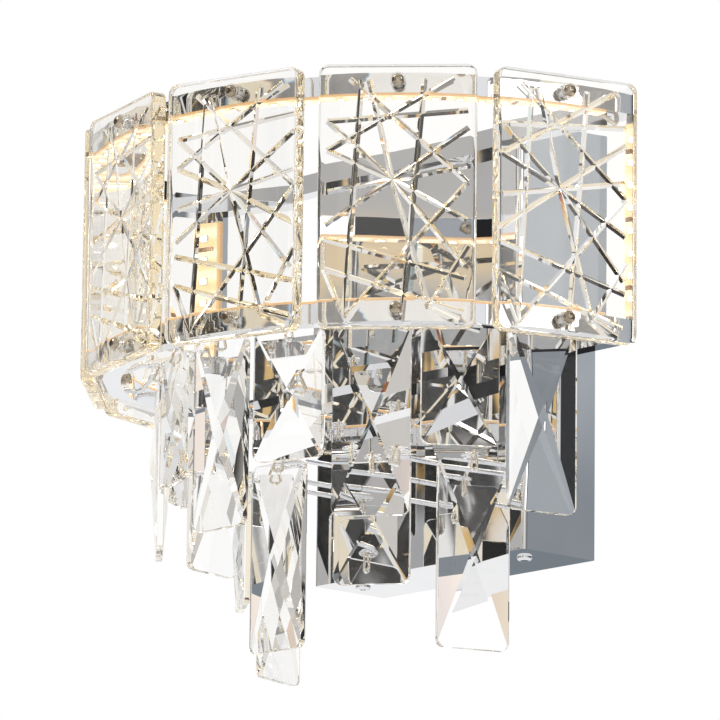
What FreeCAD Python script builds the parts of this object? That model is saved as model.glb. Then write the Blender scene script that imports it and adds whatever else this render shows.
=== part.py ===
# Crystal wall sconce, in millimetres.
# The origin is on the wall, behind the middle of the wall box. +X runs to the right as the lamp is
# seen from the room, +Z is up, and the lamp stands out from the wall along -Y.
# The glass plates, the frames and the crystals are set out on arcs about one upright centre line.
# An angle is measured about that line: 0 points straight out of the wall, 90 along +X.

import FreeCAD, Part
import math
import os

# Wall box: a folded cover, open at the back
BOX_WIDTH = 143.0
BOX_DEPTH = 44.0
BOX_HEIGHT = 198.0
BOX_WALL = 1.0
BOX_EDGE_RADIUS = 2.0

# Wall bracket: a flat plate with two pairs of tabs that hold the box
BRACKET_WIDTH = 128.0
BRACKET_WALL = 1.5
TAB_WIDTH = 14.0
TAB_DEPTH = 36.0
TAB_SPACING = 110.0
TAB_SCREW_OUT = 28.0
TAB_GAP = 0.2
WALL_HOLE_DIAMETER = 5.0
WALL_HOLE_SPACING_X = 96.0
WALL_HOLE_SPACING_Z = 160.0
CABLE_HOLE_DIAMETER = 20.0
CABLE_HOLE_HEIGHT = 62.0

# Frames: two closed D-shaped square tubes, an arc with a straight chord on the box's front
ARC_RADIUS = 142.7
TUBE_WIDTH = 8.5
TUBE_HEIGHT = 9.0
TUBE_WALL = 1.2
BOTTOM_FRAME_HEIGHT = -10.5
TOP_FRAME_BELOW_BOX_TOP = 6.5
FRAME_SCREW_SPACING = 80.0

# End posts: flat bars that join the frames at the corners of the D
POST_WIDTH = 9.0
POST_THICKNESS = 1.5
POST_OVERHANG = 1.2

# Light strips
STRIP_WIDTH = 8.0
STRIP_THICKNESS = 1.4
STRIP_ARC_ANGLE = 84.0
POST_STRIP_GAP = 3.0

# Glass plates
PLATE_WIDTH = 70.0
PLATE_THICKNESS = 7.0
PLATE_CORNER_RADIUS = 4.5
PLATE_ANGLES = (-75.0, -45.0, -15.0, 15.0, 45.0, 75.0)
PLATE_EDGE_BELOW_SCREW = 8.5
PLATE_EDGE_ABOVE_SCREW = 7.5
GROOVE_WIDTH = 2.6
GROOVE_DEPTH = 1.1

# Corners and crossings of the plate's groove pattern: across from the middle, up from the bottom edge
LEFT_HIGH = (-31.0, 93.8)
LEFT_UPPER = (-31.0, 80.4)
LEFT_LOWER = (-32.0, 27.0)
HUB = (-2.3, 67.2)
FOOT_LEFT = (-22.8, 5.0)
FOOT_RIGHT = (14.2, 9.6)
RIGHT_MIDDLE = (30.8, 66.0)
GROOVES = (
    (LEFT_HIGH, (30.8, 98.6)),
    (LEFT_HIGH, HUB),
    (LEFT_UPPER, (24.4, 113.6)),
    (LEFT_UPPER, HUB),
    ((-16.2, 112.6), FOOT_LEFT),
    ((-12.8, 112.6), HUB),
    ((-21.4, 113.2), RIGHT_MIDDLE),
    ((11.5, 113.2), (2.4, 4.2)),
    ((31.0, 90.8), (-31.6, 46.8)),
    ((-30.6, 61.8), (30.4, 73.4)),
    (HUB, (30.6, 49.0)),
    (HUB, (29.6, 28.6)),
    (HUB, FOOT_RIGHT),
    (RIGHT_MIDDLE, FOOT_LEFT),
    ((-32.0, 40.4), (30.4, 22.8)),
    (LEFT_LOWER, (29.2, 7.4)),
    (LEFT_LOWER, FOOT_LEFT),
    ((31.0, 37.4), FOOT_RIGHT),
    (FOOT_RIGHT, (27.4, 3.4)),
)

# Plate fixings: a domed screw through plate and frame, with a cap nut inside
PLATE_SCREW_DIAMETER = 3.0
PLATE_HEAD_DIAMETER = 5.6
PLATE_HEAD_HEIGHT = 2.3
WASHER_DIAMETER = 7.0
WASHER_THICKNESS = 0.5
CAP_NUT_WIDTH = 5.5
CAP_NUT_HEX_HEIGHT = 1.8
CAP_NUT_HEIGHT = 4.4
CAP_NUT_DOME_DIAMETER = 5.2
CAP_NUT_WALL = 0.9

# Crystals: bars with a low four-sided pyramid on both faces
CRYSTAL_WIDTH = 35.0
CRYSTAL_LONG = 86.0
CRYSTAL_SHORT = 59.0
CRYSTAL_THICKNESS = 10.5
CRYSTAL_RIM = 3.0
CRYSTAL_CORNER_RADIUS = 4.0
CRYSTAL_HOLE_DIAMETER = 2.2
CRYSTAL_HOLE_DROP = 4.5

# Outer row of crystals, hung from the bottom frame: angle, length and the rise of its eye above its pin
OUTER_ROW_RADIUS = 115.0
EYE_RISE = 3.0
END_EYE_RISE = 8.0
OUTER_ROW = (
    (-78.0, CRYSTAL_LONG, END_EYE_RISE), (-58.5, CRYSTAL_SHORT, END_EYE_RISE),
    (-39.0, CRYSTAL_LONG, EYE_RISE), (-19.5, CRYSTAL_SHORT, EYE_RISE),
    (0.0, CRYSTAL_LONG, EYE_RISE),
    (19.5, CRYSTAL_SHORT, EYE_RISE), (39.0, CRYSTAL_LONG, EYE_RISE),
    (58.5, CRYSTAL_SHORT, END_EYE_RISE), (78.0, CRYSTAL_LONG, END_EYE_RISE),
)

# Inner row of crystals, hung from the box's front: angle, radius and length
INNER_ROW_HEIGHT = -58.5
INNER_END_RADIUS = 69.6
INNER_SIDE_RADIUS = 76.8
INNER_MIDDLE_RADIUS = 80.0
INNER_ROW = (
    (-71.6, INNER_END_RADIUS, CRYSTAL_LONG), (-34.9, INNER_SIDE_RADIUS, CRYSTAL_SHORT),
    (0.0, INNER_MIDDLE_RADIUS, CRYSTAL_LONG),
    (34.9, INNER_SIDE_RADIUS, CRYSTAL_SHORT), (71.6, INNER_END_RADIUS, CRYSTAL_LONG),
)

# Wire links and the eyes that they hang over
LINK_WIRE_DIAMETER = 1.2
LINK_REACH = 7.5
LINK_FLARE = 21.5
LINK_CORNER_RADIUS = 1.0
LINK_SEAT = 0.1
EYE_WIRE_DIAMETER = 1.6
EYE_WIDTH = 6.8
EYE_LENGTH = 6.5
EYE_CORNER_RADIUS = 2.0
HINGE_CLEARANCE = 0.05

# Hangers that carry the eyes
PIN_DIAMETER = 2.4
PIN_END = 1.0
PIN_STRAIGHT = 2.3
NECK_LENGTH = 4.0
NECK_BEND_RADIUS = 3.0
ROD_THREAD_END = 1.2
HANGER_NUT_WIDTH = 5.0
HANGER_NUT_HEIGHT = 2.0

# Machine screws: box to bracket, frames to box, and what is fixed to the bracket
BOX_SCREW_DIAMETER = 4.0
BOX_SCREW_LENGTH = 8.0
BOX_HEAD_DIAMETER = 7.0
BOX_HEAD_HEIGHT = 1.6
FRAME_SCREW_DIAMETER = 4.0
FRAME_SCREW_END = 1.2
FRAME_HEAD_DIAMETER = 7.5
FRAME_HEAD_HEIGHT = 2.2
SMALL_SCREW_DIAMETER = 3.0
SMALL_HEAD_DIAMETER = 5.5
SMALL_HEAD_HEIGHT = 1.8
EARTH_SCREW_DIAMETER = 4.0
EARTH_HEAD_DIAMETER = 8.0
EARTH_HEAD_HEIGHT = 2.6
EARTH_SCREW_FROM_EDGE = 22.0
DOME_SHARE = 0.88
RECESS_WIDTH = 0.8
RECESS_DEPTH = 0.8
HOLE_CLEARANCE = 0.15
THREAD_CLEARANCE = 0.05
CUT_OVERSHOOT = 1.0

# Driver and terminal block on the bracket, inside the box
DRIVER_LENGTH = 100.0
DRIVER_HEIGHT = 38.0
DRIVER_DEPTH = 24.0
DRIVER_EDGE_RADIUS = 1.5
DRIVER_EAR_LENGTH = 9.0
DRIVER_EAR_THICKNESS = 2.0
DRIVER_MIDDLE = -28.0
TERMINAL_WIDTH = 30.0
TERMINAL_HEIGHT = 17.0
TERMINAL_DEPTH = 14.0
TERMINAL_MIDDLE = 32.0
TERMINAL_POLES = 3
TERMINAL_ENTRY_DIAMETER = 3.4
TERMINAL_ENTRY_DEPTH = 4.0
TERMINAL_BASE_DEPTH = 4.0
TERMINAL_FOOT_MARGIN = 1.0
TERMINAL_FOOT_ROOT = 1.0

# Leads and the grommet through which the light strips are fed
LEAD_DIAMETER = 2.4
STRIP_LEAD_DIAMETER = 2.0
LEAD_BEND_RADIUS = 7.0
STRIP_LEAD_BEND_RADIUS = 2.6
LEAD_SIDE_ROOM = 9.0
LEAD_SPACING = 9.0
GROMMET_BORE = 3.0
GROMMET_WALL = 1.0
GROMMET_FLANGE_DIAMETER = 8.0
GROMMET_FLANGE_THICKNESS = 1.2
STRIP_LEAD_OFFSET = 0.4
STRIP_LEAD_FROM_POST = 2.7
STRIP_LEAD_DROP = 3.0
STRIP_LEAD_END_GAP = 0.9
SEAT_GAP = 0.3

# Worked out from the sizes above
ARC_CENTRE_OUT = BOX_DEPTH + TUBE_WIDTH / 2
INNER_RADIUS = ARC_RADIUS - TUBE_WIDTH
TUBE_FRONT = BOX_DEPTH + TUBE_WIDTH
BOX_TOP = BOX_HEIGHT / 2
TOP_FRAME_HEIGHT = BOX_TOP - TOP_FRAME_BELOW_BOX_TOP
PLATE_BACK_RADIUS = ARC_RADIUS + WASHER_THICKNESS
PLATE_BOTTOM = BOTTOM_FRAME_HEIGHT - PLATE_EDGE_BELOW_SCREW
SCREW_SPAN = TOP_FRAME_HEIGHT - BOTTOM_FRAME_HEIGHT
PLATE_SCREW_HEIGHTS = (PLATE_EDGE_BELOW_SCREW, PLATE_EDGE_BELOW_SCREW + SCREW_SPAN)
PLATE_HEIGHT = PLATE_EDGE_BELOW_SCREW + SCREW_SPAN + PLATE_EDGE_ABOVE_SCREW
BRACKET_TOP = BOX_TOP - BOX_WALL - TAB_GAP
EYE_RADIUS = EYE_WIRE_DIAMETER / 2
LINK_RADIUS = LINK_WIRE_DIAMETER / 2
LINK_TOP_RADIUS = EYE_RADIUS + HINGE_CLEARANCE + LINK_RADIUS
PIN_REACH = INNER_RADIUS + TUBE_WALL + PIN_END - OUTER_ROW_RADIUS

UP = FreeCAD.Vector(0, 0, 1)
OUT = FreeCAD.Vector(0, -1, 0)
IN = FreeCAD.Vector(0, 1, 0)
PAST_OUT = OUT * CUT_OVERSHOOT
PAST_IN = IN * CUT_OVERSHOOT


def vec(x, y, z):
    return FreeCAD.Vector(x, y, z)


def ring_point(angle, radius, height):
    """Point at an angle and radius about the lamp's upright centre line."""
    turn = math.radians(angle)
    return vec(radius * math.sin(turn), -ARC_CENTRE_OUT - radius * math.cos(turn), height)


def on_ring(shape, angle, radius, height):
    """Copy of a shape made facing straight out, turned and moved to its place on an arc."""
    moved = shape.copy()
    moved.rotate(vec(0, 0, 0), UP, angle)
    moved.translate(ring_point(angle, radius, height))
    return moved


def aimed(shape, point, direction):
    """Copy of a shape made along +Z, set at a point and turned along a direction."""
    moved = shape.copy()
    moved.Placement = FreeCAD.Placement(point, FreeCAD.Rotation(UP, direction))
    return moved


def block(x_low, x_high, y_low, y_high, z_low, z_high):
    corner = vec(x_low, y_low, z_low)
    return Part.makeBox(x_high - x_low, y_high - y_low, z_high - z_low, corner)


def rod(diameter, start, end):
    """Round bar between two points."""
    along = end - start
    return Part.makeCylinder(diameter / 2, along.Length, start, along)


def drill(shape, diameter, start, end):
    return shape.cut(rod(diameter, start, end))


def rounded_edges(corners, radius, closed):
    """Edges through points in a plane, with each turn rounded to a radius or to its own one."""
    count = len(corners)
    radii = radius if isinstance(radius, (list, tuple)) else [radius] * count
    ends = []
    arcs = []
    for index, corner in enumerate(corners):
        is_end = not closed and index in (0, count - 1)
        back = (corners[index - 1] - corner).normalize()
        ahead = (corners[(index + 1) % count] - corner).normalize()
        middle = back + ahead
        if is_end or middle.Length < 1e-6:
            ends.append((corner, corner))
            arcs.append(None)
            continue
        half_turn = back.getAngle(ahead) / 2
        run = radii[index] / math.tan(half_turn)
        middle.normalize()
        centre = corner + middle * (radii[index] / math.sin(half_turn))
        start, end = corner + back * run, corner + ahead * run
        ends.append((start, end))
        arcs.append(Part.Arc(start, centre - middle * radii[index], end).toShape())
    edges = []
    for index in range(count if closed else count - 1):
        following = (index + 1) % count
        edges.append(Part.LineSegment(ends[index][1], ends[following][0]).toShape())
        if arcs[following]:
            edges.append(arcs[following])
    return edges


def bent_wire(corners, radius, diameter, closed=False):
    """Round wire or tube swept along a rounded path."""
    edges = rounded_edges(corners, radius, closed)
    path = Part.Wire(edges)
    start = edges[0].Vertexes[0].Point
    along = edges[0].Vertexes[1].Point - start
    section = Part.Wire(Part.makeCircle(diameter / 2, start, along))
    return path.makePipeShell([section], True, False)


def rounded_slab(width, height, thickness, radius, bottom):
    """Upright slab with rounded corners, centred across, from y = 0 outwards."""
    half = width / 2
    outline = [vec(-half, 0, bottom), vec(half, 0, bottom),
               vec(half, 0, bottom + height), vec(-half, 0, bottom + height)]
    face = Part.Face(Part.Wire(rounded_edges(outline, radius, True)))
    return face.extrude(OUT * thickness)


def domed_disc(radius, height):
    """Disc on z = 0 with its upper edge rounded almost to the middle or to the base."""
    disc = Part.makeCylinder(radius, height)
    top_edges = [edge for edge in disc.Edges if all(abs(v.Point.z - height) < 1e-6 for v in edge.Vertexes)]
    return disc.makeFillet(DOME_SHARE * min(radius, height), top_edges)


def screw(diameter, length, head_diameter, head_height):
    """Screw with a domed, cross-recessed head that stands on z = 0 and a shank below it."""
    head = domed_disc(head_diameter / 2, head_height)
    body = head.fuse(rod(diameter, vec(0, 0, 0), vec(0, 0, -length))).removeSplitter()
    arm = head_diameter * 0.25
    half = RECESS_WIDTH / 2
    floor = head_height - RECESS_DEPTH
    cross = [block(-arm, arm, -half, half, floor, head_height),
             block(-half, half, -arm, arm, floor, head_height)]
    return body.cut(cross)


def hexagon(width, height):
    """Hexagonal prism on z = 0, measured across its flats."""
    corner_radius = width / 2 / math.cos(math.radians(30))
    points = []
    for step in range(7):
        turn = math.radians(60 * step)
        points.append(vec(corner_radius * math.cos(turn), corner_radius * math.sin(turn), 0))
    return Part.Face(Part.makePolygon(points)).extrude(UP * height)


def washer(outer, inner, thickness):
    disc = Part.makeCylinder(outer / 2, thickness)
    return disc.cut(Part.makeCylinder(inner / 2, thickness))


def d_block(arc_radius, opening_radius, back, front, low, high):
    """D-shaped ring with a square section, between two distances from the wall at its chord."""
    arc_start, arc_end = vec(-arc_radius, -ARC_CENTRE_OUT, low), vec(arc_radius, -ARC_CENTRE_OUT, low)
    outline = Part.Wire([
        Part.Arc(arc_start, ring_point(0, arc_radius, low), arc_end).toShape(),
        Part.LineSegment(arc_end, vec(arc_radius, -back, low)).toShape(),
        Part.LineSegment(vec(arc_radius, -back, low), vec(-arc_radius, -back, low)).toShape(),
        Part.LineSegment(vec(-arc_radius, -back, low), arc_start).toShape(),
    ])
    across = math.sqrt(opening_radius ** 2 - (front - ARC_CENTRE_OUT) ** 2)
    left, right = vec(-across, -front, low), vec(across, -front, low)
    opening = Part.Wire([
        Part.Arc(left, ring_point(0, opening_radius, low), right).toShape(),
        Part.LineSegment(right, left).toShape(),
    ])
    rise = UP * (high - low)
    return Part.Face(outline).extrude(rise).cut(Part.Face(opening).extrude(rise))


def arc_strip(inner, outer, angle, low, high):
    """Flat strip along an arc that runs the same angle to both sides."""
    edges = [
        Part.Arc(ring_point(-angle, outer, low), ring_point(0, outer, low),
                 ring_point(angle, outer, low)).toShape(),
        Part.LineSegment(ring_point(angle, outer, low), ring_point(angle, inner, low)).toShape(),
        Part.Arc(ring_point(angle, inner, low), ring_point(0, inner, low),
                 ring_point(-angle, inner, low)).toShape(),
        Part.LineSegment(ring_point(-angle, inner, low), ring_point(-angle, outer, low)).toShape(),
    ]
    return Part.Face(Part.Wire(edges)).extrude(UP * (high - low))


def box_screw_places():
    """Where the four box screws enter: a point on the box's face and the way their heads face."""
    places = []
    for side in (-1, 1):
        for way in (-1, 1):
            places.append((vec(side * TAB_SPACING / 2, -TAB_SCREW_OUT, way * BOX_TOP), UP * way))
    return places


def frame_screw_places():
    """Where the four frame screws pass the box's front, on its inside face."""
    return [vec(side * FRAME_SCREW_SPACING / 2, -BOX_DEPTH + BOX_WALL, height)
            for height in (BOTTOM_FRAME_HEIGHT, TOP_FRAME_HEIGHT) for side in (-1, 1)]


def hanger_rod_path(angle, radius):
    """Path of a box hanger: from inside the box, out along the rod, and round to its eye."""
    eye_back = ring_point(angle, radius - EYE_LENGTH, INNER_ROW_HEIGHT)
    elbow = ring_point(angle, radius - EYE_LENGTH - NECK_LENGTH, INNER_ROW_HEIGHT)
    inside = BOX_DEPTH - BOX_WALL - HANGER_NUT_HEIGHT - ROD_THREAD_END
    return [vec(elbow.x, -inside, elbow.z), elbow, eye_back]


def lead_hole_point():
    """Where the strip lead passes from the box into the top frame."""
    return vec(0, -BOX_DEPTH, TOP_FRAME_HEIGHT)


def grommet_hole():
    """Diameter of the hole that the grommet's sleeve sits in."""
    return GROMMET_BORE + 2 * (GROMMET_WALL + THREAD_CLEARANCE)


def strip_lead_outlet():
    """Where the strip lead leaves the top frame's underside, beside the right-hand post."""
    side = post_sides()[0] - STRIP_LEAD_FROM_POST
    out = BOX_DEPTH + TUBE_WIDTH / 2 + STRIP_LEAD_OFFSET
    return vec(side, -out, TOP_FRAME_HEIGHT - TUBE_HEIGHT / 2)


def wall_box():
    half = BOX_WIDTH / 2
    outer = block(-half, half, -BOX_DEPTH, 0, -BOX_TOP, BOX_TOP)
    front_edges = [edge for edge in outer.Edges if is_upright_at(edge, BOX_DEPTH)]
    outer = outer.makeFillet(BOX_EDGE_RADIUS, front_edges)
    inside_half = half - BOX_WALL
    inside_top = BOX_TOP - BOX_WALL
    inner = block(-inside_half, inside_half, -BOX_DEPTH + BOX_WALL, 0, -inside_top, inside_top)
    inner_edges = [edge for edge in inner.Edges if is_upright_at(edge, BOX_DEPTH - BOX_WALL)]
    if BOX_EDGE_RADIUS > BOX_WALL:
        inner = inner.makeFillet(BOX_EDGE_RADIUS - BOX_WALL, inner_edges)
    shell = outer.cut(inner)
    plain_hole = BOX_SCREW_DIAMETER + 2 * HOLE_CLEARANCE
    for point, way in box_screw_places():
        shell = drill(shell, plain_hole, point + way * CUT_OVERSHOOT, point - way * (BOX_WALL + TAB_GAP))
    for point in frame_screw_places():
        frame_hole = FRAME_SCREW_DIAMETER + 2 * HOLE_CLEARANCE
        shell = drill(shell, frame_hole, point + PAST_IN, point + OUT * (BOX_WALL + CUT_OVERSHOOT))
    for angle, radius, _ in INNER_ROW:
        start = hanger_rod_path(angle, radius)[0]
        rod_hole = PIN_DIAMETER + 2 * HOLE_CLEARANCE
        shell = drill(shell, rod_hole, start, vec(start.x, -BOX_DEPTH - CUT_OVERSHOOT, start.z))
    lead = lead_hole_point()
    return drill(shell, grommet_hole(), lead + IN * (BOX_WALL + CUT_OVERSHOOT), lead + PAST_OUT)


def is_upright_at(edge, distance):
    """True for a straight upright edge at a distance from the wall."""
    first, last = edge.Vertexes[0].Point, edge.Vertexes[-1].Point
    same_place = abs(first.x - last.x) < 1e-6 and abs(first.y - last.y) < 1e-6
    return same_place and abs(first.y + distance) < 1e-6


def wall_bracket():
    half = BRACKET_WIDTH / 2
    plate = block(-half, half, -BRACKET_WALL, 0, -BRACKET_TOP, BRACKET_TOP)
    tapped = BOX_SCREW_DIAMETER + 2 * THREAD_CLEARANCE
    for side in (-1, 1):
        middle = side * TAB_SPACING / 2
        for low in (-BRACKET_TOP, BRACKET_TOP - BRACKET_WALL):
            near, far = middle - TAB_WIDTH / 2, middle + TAB_WIDTH / 2
            tab = block(near, far, -TAB_DEPTH, 0, low, low + BRACKET_WALL)
            plate = plate.fuse(tab)
    plate = plate.removeSplitter()
    through = BRACKET_WALL + CUT_OVERSHOOT
    for point, way in box_screw_places():
        depth = BOX_WALL + TAB_GAP + BRACKET_WALL + CUT_OVERSHOOT
        plate = drill(plate, tapped, point, point - way * depth)
    for side in (-1, 1):
        for way in (-1, 1):
            hole = vec(side * WALL_HOLE_SPACING_X / 2, 0, way * WALL_HOLE_SPACING_Z / 2)
            plate = drill(plate, WALL_HOLE_DIAMETER, hole + PAST_IN, hole + OUT * through)
    cable = vec(0, 0, CABLE_HOLE_HEIGHT)
    plate = drill(plate, CABLE_HOLE_DIAMETER, cable + PAST_IN, cable + OUT * through)
    for point in driver_screw_points() + [terminal_screw_point()]:
        back = vec(point.x, 0, point.z)
        small_hole = SMALL_SCREW_DIAMETER + 2 * THREAD_CLEARANCE
        plate = drill(plate, small_hole, back + PAST_IN, back + OUT * through)
    earth = earth_screw_point()
    earth_hole = EARTH_SCREW_DIAMETER + 2 * THREAD_CLEARANCE
    return drill(plate, earth_hole, earth + PAST_OUT, earth + IN * through)


def driver_screw_points():
    """Where the driver's screw heads sit, on its two ears."""
    across = DRIVER_LENGTH / 2 + DRIVER_EAR_LENGTH / 2
    out = -BRACKET_WALL - DRIVER_EAR_THICKNESS
    return [vec(-across, out, DRIVER_MIDDLE), vec(across, out, DRIVER_MIDDLE)]


def terminal_screw_point():
    """Where the terminal block's screw head sits, on its foot between two poles."""
    foot = TERMINAL_MIDDLE + TERMINAL_HEIGHT / 2 + SMALL_HEAD_DIAMETER / 2 + SEAT_GAP
    return vec(0, -BRACKET_WALL - TERMINAL_BASE_DEPTH, foot)


def earth_screw_point():
    return vec(EARTH_SCREW_FROM_EDGE - BRACKET_WIDTH / 2, -BRACKET_WALL, TERMINAL_MIDDLE)


def box_screws():
    one = screw(BOX_SCREW_DIAMETER, BOX_SCREW_LENGTH, BOX_HEAD_DIAMETER, BOX_HEAD_HEIGHT)
    return Part.makeCompound([aimed(one, point, way) for point, way in box_screw_places()])


def earth_screw():
    one = screw(EARTH_SCREW_DIAMETER, BRACKET_WALL, EARTH_HEAD_DIAMETER, EARTH_HEAD_HEIGHT)
    return aimed(one, earth_screw_point(), OUT)


def driver_screws():
    length = BRACKET_WALL + DRIVER_EAR_THICKNESS
    one = screw(SMALL_SCREW_DIAMETER, length, SMALL_HEAD_DIAMETER, SMALL_HEAD_HEIGHT)
    return Part.makeCompound([aimed(one, point, OUT) for point in driver_screw_points()])


def terminal_screw():
    length = BRACKET_WALL + TERMINAL_BASE_DEPTH
    one = screw(SMALL_SCREW_DIAMETER, length, SMALL_HEAD_DIAMETER, SMALL_HEAD_HEIGHT)
    return aimed(one, terminal_screw_point(), OUT)


def frame_screws():
    length = BOX_WALL + TUBE_WALL + FRAME_SCREW_END
    one = screw(FRAME_SCREW_DIAMETER, length, FRAME_HEAD_DIAMETER, FRAME_HEAD_HEIGHT)
    return Part.makeCompound([aimed(one, point, IN) for point in frame_screw_places()])


def led_driver():
    """Closed casing with an ear at each end."""
    half = DRIVER_LENGTH / 2
    low, high = DRIVER_MIDDLE - DRIVER_HEIGHT / 2, DRIVER_MIDDLE + DRIVER_HEIGHT / 2
    casing = block(-half, half, -BRACKET_WALL - DRIVER_DEPTH, -BRACKET_WALL, low, high)
    face = -BRACKET_WALL - DRIVER_DEPTH
    edges = [edge for edge in casing.Edges if all(abs(v.Point.y - face) < 1e-6 for v in edge.Vertexes)]
    casing = casing.makeFillet(DRIVER_EDGE_RADIUS, edges)
    ear_half = half + DRIVER_EAR_LENGTH
    ear_height = SMALL_HEAD_DIAMETER * 2
    ears = block(-ear_half, ear_half, -BRACKET_WALL - DRIVER_EAR_THICKNESS, -BRACKET_WALL,
                 DRIVER_MIDDLE - ear_height / 2, DRIVER_MIDDLE + ear_height / 2)
    driver = casing.fuse(ears).removeSplitter()
    for point in driver_screw_points():
        back = vec(point.x, 0, point.z)
        driver = drill(driver, SMALL_SCREW_DIAMETER + 2 * HOLE_CLEARANCE, back, point + PAST_OUT)
    return driver


def terminal_pole_sides():
    """Distances of the poles from the block's middle."""
    pitch = TERMINAL_WIDTH / TERMINAL_POLES
    return [(index - (TERMINAL_POLES - 1) / 2) * pitch for index in range(TERMINAL_POLES)]


def terminal_block():
    """Block with a wire entry above and below each pole, a clamp screw hole and a foot."""
    half = TERMINAL_WIDTH / 2
    low, high = TERMINAL_MIDDLE - TERMINAL_HEIGHT / 2, TERMINAL_MIDDLE + TERMINAL_HEIGHT / 2
    face = -BRACKET_WALL - TERMINAL_DEPTH
    body = block(-half, half, face, -BRACKET_WALL, low, high)
    foot_half = SMALL_HEAD_DIAMETER / 2 + TERMINAL_FOOT_MARGIN
    foot_end = terminal_screw_point().z + foot_half
    foot_face = -BRACKET_WALL - TERMINAL_BASE_DEPTH
    foot = block(-foot_half, foot_half, foot_face, -BRACKET_WALL, high - TERMINAL_FOOT_ROOT, foot_end)
    body = body.fuse(foot).removeSplitter()
    middle_out = -BRACKET_WALL - TERMINAL_DEPTH / 2
    for side in terminal_pole_sides():
        for start, end in ((low, low + TERMINAL_ENTRY_DEPTH), (high, high - TERMINAL_ENTRY_DEPTH)):
            if side == 0 and start == high:
                continue
            entry, stop = vec(side, middle_out, start), vec(side, middle_out, end)
            body = drill(body, TERMINAL_ENTRY_DIAMETER, entry, stop)
        body = drill(body, TERMINAL_ENTRY_DIAMETER, vec(side, face, TERMINAL_MIDDLE),
                     vec(side, face + TERMINAL_ENTRY_DEPTH, TERMINAL_MIDDLE))
    screw_at = terminal_screw_point()
    hole = SMALL_SCREW_DIAMETER + 2 * HOLE_CLEARANCE
    return drill(body, hole, vec(0, 0, screw_at.z), screw_at + PAST_OUT)


def supply_leads():
    """Two leads from the driver's left end round into the terminal block."""
    leads = []
    entry_out = -BRACKET_WALL - TERMINAL_DEPTH / 2
    entry_low = TERMINAL_MIDDLE - TERMINAL_HEIGHT / 2
    sides = terminal_pole_sides()
    for index in (0, 1):
        level = DRIVER_MIDDLE + (0.5 - index) * LEAD_SPACING
        turn_side = -DRIVER_LENGTH / 2 - LEAD_SIDE_ROOM - (index - 0.5) * LEAD_DIAMETER * 1.5
        cross_level = entry_low - LEAD_BEND_RADIUS - LEAD_SPACING * (0.6 + 0.6 * index)
        drop = -BRACKET_WALL - DRIVER_DEPTH / 2
        path = [vec(-DRIVER_LENGTH / 2, drop, level), vec(turn_side, drop, level),
                vec(turn_side, drop, cross_level), vec(sides[index], entry_out, cross_level),
                vec(sides[index], entry_out, entry_low + TERMINAL_ENTRY_DEPTH - SEAT_GAP)]
        leads.append(bent_wire(path, LEAD_DIAMETER * 1.6, LEAD_DIAMETER))
    return Part.makeCompound(leads)


def strip_lead():
    """Twin lead from the driver, through the grommet and the top frame's chord to the end of its strip."""
    hole = lead_hole_point()
    side = DRIVER_LENGTH / 2 + LEAD_SIDE_ROOM
    drop = -BRACKET_WALL - DRIVER_DEPTH / 2
    outlet = strip_lead_outlet()
    below = outlet - UP * STRIP_LEAD_DROP
    strip_end = ring_point(STRIP_ARC_ANGLE, ARC_RADIUS - TUBE_WIDTH / 2,
                           outlet.z - SEAT_GAP - STRIP_LEAD_DIAMETER / 2)
    run = strip_end - below
    end = strip_end - run * (STRIP_LEAD_END_GAP / run.Length)
    path = [vec(DRIVER_LENGTH / 2, drop, DRIVER_MIDDLE), vec(side, drop, DRIVER_MIDDLE),
            vec(side, drop, hole.z), vec(0, drop, hole.z), vec(0, outlet.y, hole.z),
            vec(outlet.x, outlet.y, hole.z), below, end]
    radii = [0, LEAD_BEND_RADIUS, LEAD_BEND_RADIUS, LEAD_BEND_RADIUS,
             STRIP_LEAD_BEND_RADIUS, STRIP_LEAD_BEND_RADIUS, STRIP_LEAD_BEND_RADIUS, 0]
    return bent_wire(path, radii, STRIP_LEAD_DIAMETER)


def lead_grommet():
    """Sleeve with a flange inside the box, through the box's front and the frame's back wall."""
    hole = lead_hole_point()
    flange_back = hole + IN * (BOX_WALL + GROMMET_FLANGE_THICKNESS)
    flange = rod(GROMMET_FLANGE_DIAMETER, flange_back, hole + IN * BOX_WALL)
    sleeve = rod(GROMMET_BORE + 2 * GROMMET_WALL, flange_back, hole + OUT * TUBE_WALL)
    grommet = flange.fuse(sleeve).removeSplitter()
    return drill(grommet, GROMMET_BORE, flange_back + PAST_IN, hole + OUT * (TUBE_WALL + CUT_OVERSHOOT))


def frame(height):
    """D-shaped tube frame with holes for the plate screws and the screws to the box."""
    low, high = height - TUBE_HEIGHT / 2, height + TUBE_HEIGHT / 2
    outer = d_block(ARC_RADIUS, INNER_RADIUS, BOX_DEPTH, TUBE_FRONT, low, high)
    hollow = d_block(ARC_RADIUS - TUBE_WALL, INNER_RADIUS + TUBE_WALL, BOX_DEPTH + TUBE_WALL,
                     TUBE_FRONT - TUBE_WALL, low + TUBE_WALL, high - TUBE_WALL)
    holes = []
    through = TUBE_WALL + CUT_OVERSHOOT
    screw_hole = PLATE_SCREW_DIAMETER + 2 * HOLE_CLEARANCE
    for angle in PLATE_ANGLES:
        holes.append(rod(screw_hole, ring_point(angle, INNER_RADIUS - CUT_OVERSHOOT, height),
                         ring_point(angle, ARC_RADIUS + CUT_OVERSHOOT, height)))
    for point in frame_screw_places():
        if point.z == height:
            front = vec(point.x, -BOX_DEPTH, height)
            tapped = FRAME_SCREW_DIAMETER + 2 * THREAD_CLEARANCE
            holes.append(rod(tapped, front + PAST_IN, front + OUT * through))
    return outer.cut(hollow).cut(holes)


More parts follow.
